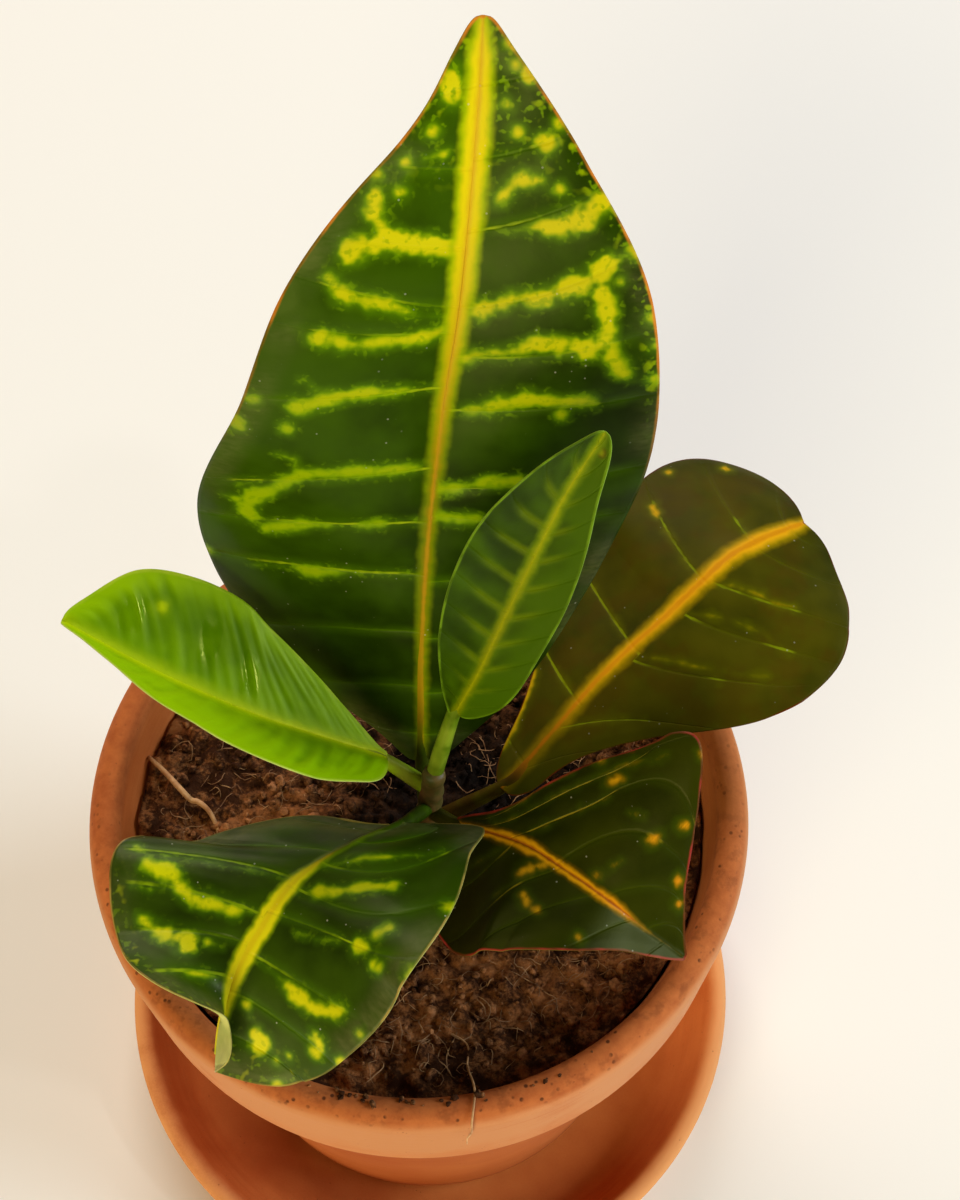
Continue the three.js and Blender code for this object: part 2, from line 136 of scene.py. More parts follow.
# Shapes of the leaves, in millimetres and degrees. Facing is about where the upper face looks, and rows and
# half_columns are the grid of the mesh. Quilt is the height of the bulges between veins, wave that of broad
# waves and pleat that of fine pleats. Width (from midrib to margin), fold (how steeply a half rises), curl
# (how far it bends on its way to the margin) and sweep (the margin's shift towards the tip, as a share of the
# width) are given at nine places from base to tip, closer together at both ends, or as one number.
# Veins have the shares along the midrib at which they start and end. Band is half the width of the yellow
# midrib, and rib_shift how far it runs to the right of the middle, each after the share along the midrib.
# Points of the yellow strokes, and dots, are share along the midrib, share towards the margin (negative on
# the left), and half width.
LEAVES = {}
LEAVES["leaf_upright"] = leaf_shape(
    slot="leaf_dark", rows=290, half_columns=56, quilt=0.42, wave=0.4, pleat=0.1,
    stalk=[(1.6, -1.5, 110), (1.4, 2.6, 116)], stalk_radius=1.7, facing=(0, -1, 0.3),
    midrib=[(1, 5, 121), (3, 19, 156), (7, 31.5, 188), (11, 41, 209), (14.5, 54.5, 233), (16, 62.5, 246)],
    left_width=[1, 8, 26, 39, 31.5, 25.8, 10.8, 4.2, 0.2],
    right_width=[1, 8, 20, 29, 34, 29.2, 16, 5.2, 0.2],
    left_fold=[0, -5, -12, -5, 10, 15, 15, 15, 10],
    right_fold=[15, 15, 12, 12, 15, 20, 15, 15, 10],
    left_curl=[-20, -20, -20, -20, -20, -20, -10, 0, 0],
    right_curl=[-20, -20, -20, -20, -20, -20, -10, 0, 0],
    left_sweep=[0.1, 0.1, -0.15, 0.05, 0.2, 0.1, 0.25, 0, 0],
    right_sweep=0.1,
    left_veins=[
        (.05, .05), (.13, .12), (.22, .2), (.31, .28), (.39, .33), (.47, .38), (.58, .51), (.65, .62),
        (.68, .695), (.75, .74), (.84, .82), (.93, .91),
    ],
    right_veins=[
        (.05, .05), (.12, .12), (.21, .21), (.3, .31), (.4, .4), (.44, .475), (.55, .59), (.62, .665),
        (.68, .75), (.77, .82), (.85, .88), (.93, .94),
    ],
    band=[(0, .45), (.24, .65), (.43, .9), (.59, 1.35), (.74, 1.9), (.87, 2), (.96, 1.7), (1, .5)],
    strokes=[
        [(.75, -.1, 1.1), (.75, -.32, .8), (.75, -.55, 1), (.74, -.71, 1.1), (.73, -.79, .8)],
        [(.75, -.56, .7), (.77, -.73, .8), (.79, -.85, .8)],
        [(.67, -.09, .2), (.67, -.25, .3), (.68, -.43, .5), (.68, -.65, .7), (.69, -.75, .6), (.7, -.81, .4)],
        [(.65, -.09, .5), (.64, -.22, .6), (.63, -.41, .4), (.62, -.56, .5), (.62, -.66, .8),
         (.62, -.75, .7)],
        [(.58, -.07, .2), (.57, -.24, .4), (.56, -.43, .5), (.55, -.56, .6), (.53, -.66, .7),
         (.52, -.75, .7)],
        [(.55, -.67, .3), (.56, -.75, .2)],
        [(.47, -.07, .3), (.46, -.25, .6), (.45, -.41, .6), (.43, -.61, .6), (.4, -.7, .6), (.38, -.77, .8),
         (.36, -.79, .9), (.35, -.75, .9)],
        [(.4, -.78, .3), (.39, -.85, .3)], [(.37, -.83, .4), (.37, -.89, .3)],
        [(.43, -.63, .3), (.45, -.67, .3), (.45, -.75, .3)],
        [(.39, -.07, .2), (.38, -.23, .4), (.37, -.36, .3), (.36, -.52, .4), (.34, -.69, .5)],
        [(.31, -.07, .2), (.3, -.33, .3), (.29, -.51, .6), (.29, -.59, .3), (.28, -.78, .2)],
        [(.94, -.75, 1.3), (.91, -.57, .8)], [(.85, -.42, .4), (.84, -.63, .2)],
        [(.83, -.71, .2), (.8, -.69, .3)], [(.81, .23, .4), (.83, .37, .7), (.83, .53, .5), (.83, .63, .2)],
        [(.77, .15, .2), (.78, .47, .4), (.78, .62, 1), (.79, .75, 1), (.8, .92, 1.1), (.81, .98, .8)],
        [(.68, .09, .8), (.69, .2, .7), (.7, .31, .3), (.7, .37, .7), (.71, .53, 1), (.72, .67, 1.1),
         (.73, .77, 1), (.74, .81, 1.1)],
        [(.71, .75, .8), (.69, .79, .7), (.69, .74, .8), (.67, .77, .5)],
        [(.62, .06, .5), (.63, .15, .4), (.64, .32, .4), (.65, .42, .9), (.65, .58, 1.1), (.65, .69, 1),
         (.66, .76, .9), (.64, .77, .7), (.62, .83, .6)],
        [(.55, .05, .2), (.56, .18, .6), (.57, .29, .9), (.58, .38, .6), (.58, .55, .5), (.58, .69, .5)],
        [(.44, .03, .5), (.45, .19, .3), (.46, .29, .6), (.46, .39, .6)], [(.4, .05, .5), (.4, .23, .6)],
        [(.87, .72, .9), (.87, .63, .5)],
    ],
    dots=[
        (.49, -.76, .6), (.87, -.71, .5), (.83, -.8, .5), (.8, -.68, .6), (.81, -.96, .5), (.51, -.95, .6),
        (.47, -.99, 1.3), (.28, -1, .5), (.82, .69, .5), (.58, .39, .5), (.56, .55, .4), (.88, .46, .4),
        (.97, 1, .6), (.95, .79, .5), (.91, .39, .4), (.89, .93, .4), (.68, .97, .5), (.65, .99, .4),
        (.61, .98, .6), (.75, 1, .6), (.94, .96, .8), (.72, .86, .3),
    ],
)
LEAVES["leaf_young_upright"] = leaf_shape(
    slot="leaf_young", rows=170, half_columns=34, quilt=0.1, wave=0.12, pleat=0.12,
    stalk=[(2.8, -1, 127), (4.4, 0.8, 134)], stalk_radius=1.5, facing=(0.1, -1, 0.3),
    midrib=[
        (7, 4, 142), (11.4, 5.3, 155.4), (16, 8.6, 168.4), (20.8, 12.1, 181.2), (25.4, 14.7, 194.5),
        (30.9, 17.4, 206),
    ],
    left_width=[0.8, 2.5, 6, 10.3, 12.6, 12, 7.5, 3, 0.2],
    right_width=[0.8, 4, 7, 8.2, 8.6, 7.2, 4.8, 2.6, 0.2],
    left_fold=[10, 5, 5, 5, 5, 5, 5, 5, 5],
    right_fold=35,
    left_curl=10, right_curl=15,
    left_sweep=0.15, right_sweep=0.15,
    left_veins=[(x, x + 0.1) for x in np.linspace(-0.05, 0.97, 12)],
    right_veins=[(x, x + 0.12) for x in np.linspace(-0.08, 0.95, 12)],
    band=[(0, 1.1), (.4, 1.2), (.8, .9), (1, .5)],
    dots=[(.95, .45, .4)],
)
LEAVES["leaf_young_left"] = leaf_shape(
    slot="leaf_young_bright", rows=220, half_columns=40, quilt=0.04, wave=0.35, pleat=0.22,
    stalk=[(2.4, -1.3, 122), (-1.2, 0.6, 124.6)], stalk_radius=1.5,
    midrib=[
        (-5.2, 2, 130), (-15, 3.3, 136), (-26, 5.1, 142.6), (-35.8, 7.8, 148.4), (-45.2, 11, 154),
        (-56.9, 15.8, 161.6),
    ],
    left_width=[0.8, 9.5, 14.5, 20.5, 20, 14.5, 8, 3, 0.2],
    right_width=[0.8, 2, 6.8, 14.6, 17.4, 17.2, 13.8, 5.4, 0.2],
    left_fold=[40, 40, 40, 45, 50, 51, 54, 55, 50],
    right_fold=20,
    left_sweep=0.15,
    right_sweep=[0.15, 0.15, 0.25, 0.45, 0.25, 0.15, 0.15, 0.15, 0.15],
    left_veins=[(x, x + 0.1) for x in np.linspace(-0.12, 0.98, 22)],
    right_veins=[(x, x + 0.16) for x in np.linspace(-0.14, 0.97, 22)],
    band=[(0, 1), (.4, 1.2), (.8, .9), (1, .5)],
    dots=[(.76, .62, .5)],
)
LEAVES["leaf_right"] = leaf_shape(
    slot="leaf_olive", rows=200, half_columns=44, quilt=0.2, wave=0.35, pleat=0.08,
    stalk=[(1.6, -1.6, 108.6), (8.5, -0.6, 113)], stalk_radius=1.5,
    midrib=[(15, 0, 118), (33, 13, 128), (48.5, 23, 135), (60, 34, 138), (74, 42, 134)],
    left_width=[1, 5, 9, 17, 22, 24.5, 25, 10, 0.2],
    right_width=[1, 4, 6, 13, 23.5, 27, 18.5, 9, 0.2],
    left_fold=-8, right_fold=-5,
    left_curl=-10, right_curl=-10,
    left_sweep=[0.1, 0.1, 0.15, 0.2, 0.1, 0.2, 0.2, 0.6, 0.6],
    right_sweep=[0, 0, 0.3, 0.2, 0.25, 0.1, 0.45, 0.4, 0.4],
    left_veins=[(.08, .08), (.27, .26), (.45, .44), (.68, .76), (.84, .87), (.95, .96)],
    right_veins=[(.06, .2), (.2, .42), (.43, .62), (.59, .68), (.69, .79), (.83, .92), (.95, .98)],
    rib_shift=[(0, 0), (.1, -.1), (.22, -.7), (.34, -1.6), (.47, -2.2), (.6, -2.1), (.72, -.8), (.82, 0)],
    band=[(0, .6), (.15, .85), (.35, 1.05), (.61, 1.25), (.87, 1.6), (.96, 1.2), (1, .6)],
    strokes=[
        [(.68, -.13, .2), (.71, -.46, .2), (.72, -.65, .3), (.73, -.77, .45)],
        [(.45, -.25, .2), (.45, -.6, .2), (.44, -.96, .2)], [(.27, -.26, .3), (.26, -.92, .2)],
        [(.84, -.06, .3), (.85, -.23, .2)],
        [(.68, 0, .2), (.71, .13, .3), (.72, .23, .3), (.73, .33, .36), (.73, .43, .3), (.75, .57, .34)],
        [(.59, -.02, .2), (.62, .13, .2), (.64, .26, .2), (.65, .47, .2), (.64, .69, .3)],
        [(.43, -.03, .2), (.47, .11, .25), (.5, .26, .34), (.53, .46, .3), (.58, .71, .2)],
        [(.53, .43, .2), (.51, .57, .2)], [(.2, .08, .2), (.27, .37, .3), (.34, .63, .2)],
        [(.21, -1, .6), (.18, -1, .5), (.14, -1, .5), (.06, -1, .4)],
    ],
    dots=[(.89, -.88, .6), (.8, -.91, .3)],
)
LEAVES["leaf_low_right"] = leaf_shape(
    slot="leaf_dark_red", rows=190, half_columns=46, quilt=0.16, wave=0.25, pleat=0.08,
    stalk=[(1.8, -1.8, 114.5), (3.6, -4.2, 117)], stalk_radius=1.4,
    midrib=[
        (6.2, -6.5, 119), (17.1, -14.3, 126.5), (23.2, -19.9, 128.7), (30, -26, 129), (37.5, -31, 124),
        (44, -34.5, 119),
    ],
    left_width=[0.8, 2, 5, 13, 31.5, 18.5, 9, 2.5, 0.2],
    right_width=[0.8, 13, 21, 21.5, 17, 8, 4, 1.5, 0.2],
    left_fold=30,
    right_fold=[-25, -25, -20, -4, 3, 8, 10, 10, 10],
    left_sweep=[0.3, 0.3, 0.5, 0.15, 0.2, 0.1, 0, 0, 0],
    right_sweep=[-0.3, -0.3, 0, 0.2, 0.1, 0.2, 0.1, 0.2, 0.2],
    left_veins=[(-.1, .05), (-.02, .25), (.07, .52), (.25, .68), (.45, .8), (.64, .9), (.82, .97)],
    right_veins=[(.1, -.2), (.28, -.05), (.47, .14), (.62, .35), (.76, .6), (.9, .85)],
    band=[
        (0, .5), (.11, .7), (.21, 1.1), (.32, 1.4), (.51, 1.1), (.66, 1.1), (.78, .4), (.86, -.3), (1, -.6),
    ],
    strokes=[
        [(.17, -.29, .2), (.29, -.61, .2), (.36, -.71, .2), (.41, -.83, .3), (.48, -.77, .3), (.5, -.84, .2)],
        [(.32, -.2, .2), (.39, -.39, .2), (.42, -.45, .2), (.46, -.51, .2)],
        [(.26, .05, .2), (.16, .25, .2), (.11, .39, .2)], [(.36, .33, .2), (.24, .62, .2)],
        [(.13, -.55, .2), (.23, -.98, .2), (.33, -1, .2)], [(.42, .05, .4), (.4, .13, .9), (.36, .25, .5)],
        [(.42, -.67, .4), (.44, -.67, .5)], [(.63, -.55, .5), (.63, -.59, .4)],
        [(.6, -.21, .3), (.61, -.27, .3)], [(.54, -.47, .3), (.57, -.53, .2)],
        [(.66, -.89, .5), (.65, -.79, .3)],
    ],
    dots=[
        (.42, .41, .4), (.44, .45, .5), (.49, .5, .5), (.58, -.08, .5), (.79, -.82, .7), (.86, -.8, .6),
        (.37, -1, .3), (.62, .79, .2), (.56, -1, .4),
    ],
)
LEAVES["leaf_low_left"] = leaf_shape(
    slot="leaf_dark_low", rows=210, half_columns=46, quilt=0.28, wave=0.35, pleat=0.1,
    stalk=[(1.8, -1.8, 117), (-0.4, -5.4, 121)], stalk_radius=1.4,
    midrib=[
        (-3, -9, 126), (-9.7, -12.8, 129.6), (-16.5, -17, 132.5), (-23.2, -22.2, 133), (-28.4, -28.5, 130.8),
        (-32.7, -35, 127.3), (-35.6, -41.5, 122.6), (-37, -48.5, 118.4),
    ],
    left_width=[0.8, 8.5, 16, 27.8, 28.2, 23.2, 16.8, 11.5, 0.2],
    right_width=[0.8, 1.5, 12, 22, 29, 18.5, 6, 7, 0.2],
    left_fold=[28, 30, 30, 20, 10, 5, 5, 5, 5],
    right_fold=[0, -20, -30, -25, 0, 15, 110, 115, 90],
    left_sweep=[-1.45, -1.45, -0.65, -0.08, 0.1, 0.25, 0.35, 0.3, 0.2],
    right_sweep=[0.6, 0.6, 0.1, 0.6, 0.2, 0.3, -0.4, -0.2, -0.2],
    left_veins=[(.18, -.08), (.31, .1), (.42, .23), (.51, .33), (.64, .56), (.76, .72), (.88, .88)],
    right_veins=[(.1, .2), (.26, .38), (.4, .51), (.53, .57), (.62, .65), (.72, .73), (.85, .85)],
    rib_shift=[(0, 0), (.2, -.3), (.35, -.5), (.55, -.7), (.7, -.3), (.8, 0)],
    band=[
        (0, 0), (.2, .2), (.26, .4), (.33, .8), (.4, 1.3), (.55, 1.7), (.69, 1.6), (.8, 1.3), (.9, .5),
        (1, .1),
    ],
    strokes=[
        [(.41, .03, .2), (.44, .26, .2), (.47, .55, .3), (.5, .81, .3), (.49, .9, .4)],
        [(.52, .79, .6), (.52, .71, .9), (.53, .61, .9), (.55, .55, .5), (.56, .45, .7), (.56, .33, .6),
         (.55, .17, .4), (.53, .05, .2)],
        [(.57, .85, .3), (.57, .73, .2)],
        [(.62, .81, .3), (.64, .72, .6), (.65, .6, .8), (.66, .46, 1.1), (.65, .4, .6)],
        [(.65, .3, .4), (.65, .19, .2)], [(.73, .77, .2), (.73, .37, .4), (.73, .13, .3)],
        [(.31, -.06, .3), (.22, -.23, .4), (.17, -.49, .3), (.16, -.67, .2), (.14, -.77, .3)],
        [(.41, -.09, .2), (.36, -.21, .5), (.29, -.4, .6), (.26, -.54, .6)],
        [(.51, -.24, .2), (.49, -.37, .2), (.45, -.48, .3), (.38, -.63, .2), (.33, -.71, .6)],
        [(.41, -.61, .6), (.4, -.66, .6)],
        [(.64, -.13, .2), (.64, -.32, .2), (.64, -.47, .7), (.64, -.59, .6), (.62, -.69, .4),
         (.59, -.75, .9)],
        [(.84, -.37, .6), (.86, -.49, 1.1)], [(.69, -.74, .3), (.71, -.81, 1.1), (.74, -.83, .6)],
        [(.77, -.18, .4), (.8, -.25, .2)],
    ],
    dots=[
        (.42, -.77, .3), (.41, -.82, .3), (.36, -1, 1), (.25, -.97, .8), (.69, -1, .7), (.59, -.95, .3),
        (.97, -1, .5), (.88, -.67, .3), (.82, -.72, .2),
    ],
)


def tone(red, green, blue):
    """A colour given as screen values, as the linear values that a shader takes."""
    shares = np.array([red, green, blue]) / 255
    linear = np.where(shares <= 0.04045, shares / 12.92, ((shares + 0.055) / 1.055) ** 2.4)
    return (*[float(c) for c in linear], 1.0)


def leaf_look(colours, **values):
    """A leaf's look, with the values that most leaves share."""
    look = {part: tone(*colour) for part, colour in colours.items()}
    common = dict(margin_from=-1, pale_edge=0, blush=0, dust=0, flecks=0, bloom=0, wet=[])
    return SimpleNamespace(**(look | common | values))


# Looks of the leaves. Colours: dark and light ground, glow round veins and marks, line of a side vein, lit
# line that a mark follows, fringe of a mark and mark, midrib near base and tip, its edge and its middle line,
# margin, underside and stalk. Side_light is painted light: it makes the right half lighter (negative: the
# left half), the half that faces the light. Rise makes the tip lighter and the base darker (negative: the
# other way), partly the leaf's own tone and partly painted shade near the plant's middle. Pleat_shade is
# painted shade on the pleats in the rows between the veins, lighter on their ridges and darker in their
# furrows, and pale_edge makes the margin lighter. Rib_turn is where the midrib turns from base to tip colour,
# rib_soft the width of its soft edge, and margin_from where the coloured margin starts. Blush is brown
# patches, dust pale specks, flecks yellow specks near tip and right margin, bloom a pale grey painted sheen
# near the margin, and wet the places (along, across) of small glossy spots. Gloss is the tint of reflections
# and shine their strength. Other values are shares, and widths are in millimetres.
LOOKS = {}
LOOKS["leaf_upright"] = leaf_look(
    dict(dark=(18, 32, 0), light=(50, 78, 0), glow=(84, 124, 0), line=(90, 126, 0), lit=(146, 166, 14),
         fringe=(112, 148, 0), mark=(140, 164, 0), rib_base=(146, 126, 4), rib_tip=(222, 204, 14),
         rib_edge=(158, 178, 0), centre=(206, 146, 30), margin=(210, 124, 40), under=(96, 124, 30),
         stalk=(56, 64, 10)),
    roughness=0.34, centre_strength=0.5, gloss=(0.9, 1.0, 0.4, 1), shine=0.12, lean=-0.2, rise=0.35,
    streaks=0.25, line_strength=0.35, line_width=0.3, rib_turn=(0.4, 0.85), vein_glow=0.35, rib_soft=1.3,
    margin_width=0.6, margin_from=0.4, dust=0.25, flecks=0.9, bloom=0.3,
)
LOOKS["leaf_young_upright"] = leaf_look(
    dict(dark=(30, 50, 0), light=(62, 92, 0), glow=(78, 108, 0), line=(104, 124, 0), lit=(120, 150, 10),
         fringe=(72, 66, 4), mark=(84, 62, 6), rib_base=(116, 126, 0), rib_tip=(130, 144, 2),
         rib_edge=(90, 116, 0), centre=(168, 166, 8), margin=(106, 142, 26), under=(128, 160, 50),
         stalk=(122, 142, 34)),
    roughness=0.4, centre_strength=0.5, gloss=(1.0, 0.92, 0.3, 1), shine=0.14, lean=0.4, rise=-0.1,
    streaks=0.6, line_strength=0.6, line_width=1.5, rib_turn=(0.3, 0.7), vein_glow=0.3, rib_soft=1.0,
    margin_width=0.5, pale_edge=0.15,
)
LOOKS["leaf_young_left"] = leaf_look(
    dict(dark=(76, 120, 0), light=(138, 178, 0), glow=(140, 172, 0), line=(70, 108, 0), lit=(150, 180, 10),
         fringe=(160, 184, 0), mark=(188, 208, 0), rib_base=(206, 214, 14), rib_tip=(190, 206, 10),
         rib_edge=(158, 184, 0), centre=(204, 208, 0), margin=(160, 184, 40), under=(196, 206, 130),
         stalk=(128, 140, 36)),
    roughness=0.4, centre_strength=0.3, gloss=(1.0, 1.0, 0.25, 1), shine=0.25, lean=-0.3, rise=0.15,
    streaks=0.45, line_strength=0.0, line_width=0.6, rib_turn=(0.3, 0.7), vein_glow=0.0, rib_soft=2.2,
    margin_width=0.7, pale_edge=0.45, wet=[(0.83, 0.48), (0.593, 0.47), (0.447, 0.38)],
)
LOOKS["leaf_right"] = leaf_look(
    dict(dark=(38, 42, 2), light=(74, 71, 4), glow=(88, 92, 0), line=(92, 100, 0), lit=(116, 130, 8),
         fringe=(112, 108, 0), mark=(190, 156, 14), rib_base=(120, 92, 4), rib_tip=(222, 162, 14),
         rib_edge=(146, 122, 0), centre=(184, 96, 10), margin=(96, 30, 8), under=(112, 100, 30),
         stalk=(60, 44, 8)),
    roughness=0.48, centre_strength=0.45, gloss=(1.0, 0.85, 0.3, 1), shine=0.09, lean=0.05, rise=0.1,
    streaks=0.3, line_strength=0.2, line_width=0.35, rib_turn=(0.1, 0.4), vein_glow=0.15, rib_soft=1.5,
    margin_width=0.35, blush=0.28, dust=0.2,
)
LOOKS["leaf_low_right"] = leaf_look(
    dict(dark=(18, 25, 0), light=(46, 52, 0), glow=(60, 78, 0), line=(70, 78, 0), lit=(136, 120, 24),
         fringe=(104, 88, 0), mark=(210, 154, 14), rib_base=(222, 158, 10), rib_tip=(210, 124, 16),
         rib_edge=(130, 96, 0), centre=(130, 40, 12), margin=(156, 46, 42), under=(96, 104, 30),
         stalk=(60, 60, 10)),
    roughness=0.4, centre_strength=0.8, gloss=(1.0, 0.95, 0.4, 1), shine=0.14, lean=0.0, rise=0.2,
    streaks=0.3, line_strength=0.25, line_width=0.3, rib_turn=(0.5, 0.8), vein_glow=0.25, rib_soft=0.8,
    margin_width=0.55, dust=0.3,
)
LOOKS["leaf_low_left"] = leaf_look(
    dict(dark=(18, 32, 0), light=(54, 80, 2), glow=(76, 120, 0), line=(92, 126, 0), lit=(138, 166, 10),
         fringe=(120, 156, 0), mark=(196, 202, 4), rib_base=(46, 62, 2), rib_tip=(230, 220, 18),
         rib_edge=(124, 150, 0), centre=(222, 178, 30), margin=(170, 140, 66), under=(196, 196, 112),
         stalk=(36, 50, 6)),
    roughness=0.36, centre_strength=0.35, gloss=(0.95, 1.0, 0.55, 1), shine=0.22, lean=-0.1, rise=0.1,
    streaks=0.3, line_strength=0.4, line_width=0.3, rib_turn=(0.22, 0.42), vein_glow=0.35, rib_soft=0.8,
    margin_width=0.4, dust=0.45, flecks=0.5, bloom=0.4,
)


def smooth_values(values, share):
    """A smooth curve through evenly numbered values, at each share of their count."""
    points = np.asarray(values, float)
    last = len(points) - 1
    padded = np.concatenate([[2 * points[0] - points[1]], points, [2 * points[-1] - points[-2]]])
    x = np.clip(share, 0, 1) * last
    i = np.minimum(x.astype(int), last - 1)
    f = (x - i).reshape((-1,) + (1,) * (points.ndim - 1))
    a, b, c, d = (padded[i + k] for k in range(4))
    return 0.5 * (2 * b + (c - a) * f + (2 * a - 5 * b + 4 * c - d) * f**2 + (3 * b - a - 3 * c + d) * f**3)


def walk(points, share):
    """Places at each share of the length of the smooth curve through the points, and that length."""
    steps = np.linspace(0, 1, 801)
    places = smooth_values(points, steps)
    lengths = np.concatenate([[0], np.cumsum(np.linalg.norm(np.diff(places, axis=0), axis=1))])
    return smooth_values(points, np.interp(np.asarray(share) * lengths[-1], lengths, steps)), lengths[-1]


def at_station(values, u):
    """Values given at the nine places of a leaf, or one number, at share u of the midrib."""
    return smooth_values(np.broadcast_to(values, 9), np.arccos(np.clip(1 - 2 * u, -1, 1)) / math.pi)


def between(pairs, x):
    """The value at x, straight between pairs of x and value."""
    return np.interp(x, *np.array(pairs).T)


def unit(vectors):
    return vectors / np.linalg.norm(vectors, axis=-1, keepdims=True)


def circle(sides):
    """Points round a circle of radius 1."""
    turns = 2 * math.pi * np.arange(sides) / sides
    return np.stack([np.cos(turns), np.sin(turns)], axis=1)


def ease(x, low, high):
    """0 at low, 1 at high and smooth between. Low may be above high."""
    t = np.clip((x - low) / (high - low), 0, 1)
    return t * t * (3 - 2 * t)


def blade_frame(leaf, u):
    """Middle of the blade, and the directions along it, out of the upper face and to the right."""
    step = 1e-3
    middle, ahead, behind = (walk(leaf.midrib, np.clip(u + s, 0, 1))[0] for s in (0, step, -step))
    along = unit(ahead - behind)
    facing = np.array(leaf.facing, float)
    up = unit(facing - (along @ facing)[:, None] * along)
    return middle, along, up, np.cross(along, up)


def blade_surface(leaf, u, v):
    """Places on the middle surface of a blade, and the half width there."""
    middle, along, up, right = blade_frame(leaf, u)
    out = np.abs(v)
    width, fold, curl, sweep = (
        np.where(v > 0, *(at_station(getattr(leaf, side + part), u) for side in ("right_", "left_")))
        for part in ("width", "fold", "curl", "sweep")
    )
    width = np.maximum(NARROWEST_HALF, width)
    angle = np.radians(fold + curl * out / 2)
    sideways = np.where(v > 0, 1, -1) * width * out * np.cos(angle)
    lift = width * out * np.sin(angle)
    forward = sweep * width * out**1.5
    return middle + sideways[:, None] * right + lift[:, None] * up + forward[:, None] * along, width


def rib_place(leaf, u):
    """Places on the blade under the midrib."""
    shift = between(leaf.rib_shift, u)
    _, width = blade_surface(leaf, u, np.sign(shift))
    return blade_surface(leaf, u, shift / width)[0]


def vein_places(leaf, u, v):
    """Number of the side vein at each place, with the share of the way to the next one, and their spacing."""
    _, length = walk(leaf.midrib, np.zeros(1))
    phase = np.zeros_like(u)
    pitch = np.zeros_like(u)
    for veins, here in ((leaf.left_veins, v <= 0), (leaf.right_veins, v > 0)):
        veins = np.array(veins)
        out = np.abs(v[here])[:, None]
        starts = veins[None, :, 0] + (veins[:, 1] - veins[:, 0])[None] * out**1.2
        reached = (starts < u[here][:, None]).sum(axis=1)
        after = np.clip(reached, 1, len(veins) - 1)
        row = np.arange(len(after))
        low, high = starts[row, after - 1], starts[row, after]
        phase[here] = after - 1 + (u[here] - low) / (high - low)
        pitch[here] = (high - low) * length
    return phase, pitch


def stroke_fields(leaf, places):
    """From each place: to the edge of the nearest blob, that blob's half width, and to the nearest line."""
    nearest = np.full(len(places), FAR)
    size = np.full(len(places), 0.5)
    line = np.full(len(places), FAR)
    for stroke in leaf.strokes + [[dot] for dot in leaf.dots]:
        stroke = np.array(stroke, float)
        count = len(stroke)
        steps = np.linspace(0, count - 1, 14 * (count - 1) + 1)
        u, v, half = (np.interp(steps, np.arange(count), column) for column in stroke.T)
        spots, _ = blade_surface(leaf, u, v)
        blobs = half
        if count > 1:
            uneven = 1 + 0.28 * np.sin(4.3 * steps + 9 * stroke[0, 1]) + 0.18 * np.sin(11.0 * steps)
            blobs = (half - 0.9 * ease(half, 0.42, 0.28)) * uneven
        low, high = spots.min(axis=0) - FAR, spots.max(axis=0) + FAR
        near = np.flatnonzero(((places > low) & (places < high)).all(axis=1))
        for spot, spot_half, blob in zip(spots, half, blobs):
            away = np.linalg.norm(places[near] - spot, axis=1)
            closer = away - blob < nearest[near]
            nearest[near[closer]] = away[closer] - blob
            size[near[closer]] = spot_half
            if count > 1:
                line[near] = np.minimum(line[near], away)
    return nearest, size, line


def make_piece(name, vertices, faces, material, slot, nodes=(), attributes=None):
    """A mesh piece of the object. Vertices are in millimetres."""
    mesh = bpy.data.meshes.new(name)
    mesh.from_pydata((np.asarray(vertices, float) * MM).tolist(), [], faces)
    mesh.polygons.foreach_set("use_smooth", [True] * len(mesh.polygons))
    for key, values in (attributes or {}).items():
        layer = mesh.attributes.new(key, "FLOAT", "POINT")
        layer.data.foreach_set("value", np.asarray(values, np.float32))
    mesh.update()
    mesh.materials.append(material)
    piece = linked(name, mesh)
    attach(piece, "root")
    if nodes:
        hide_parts(*nodes)


def linked(name, data):
    """A new object in the scene."""
    thing = bpy.data.objects.new(name, data)
    bpy.context.scene.collection.objects.link(thing)
    return thing


def ring_faces(rings, sides, inward=False):
    """Faces between the rings of a tube, and to a middle point at each end. Those two points come last."""
    around = [(k, (k + 1) % sides) for k in range(sides)]
    last = (rings - 1) * sides
    faces = [(a + k, a + n, a + sides + n, a + sides + k) for a in range(0, last, sides) for k, n in around]
    for k, n in around:
        faces += [(last + sides, n, k), (last + sides + 1, last + k, last + n)]
    return [face[:1] + face[:0:-1] for face in faces] if inward else faces


def rod(centres, radii, sides):
    """Vertices and faces of a round rod through the centres."""
    centres = np.asarray(centres, float)
    along = unit(np.gradient(centres, axis=0))
    across = np.array([1.0, 0, 0]) if abs(along[0][0]) < 0.9 else np.array([0, 1.0, 0])
    rings = []
    for centre, direction, radius in zip(centres, along, radii):
        across = unit(across - across @ direction * direction)
        rings.append(centre + radius * circle(sides) @ [across, np.cross(direction, across)])
    return np.concatenate(rings + [centres[:1], centres[-1:]]), ring_faces(len(centres), sides)


def join(parts):
    """One list of vertices and faces from several."""
    starts = np.cumsum([0] + [len(vertices) for vertices, _ in parts]).tolist()
    faces = [tuple(i + start for i in face) for start, part in zip(starts, parts) for face in part[1]]
    return np.concatenate([vertices for vertices, _ in parts]), faces


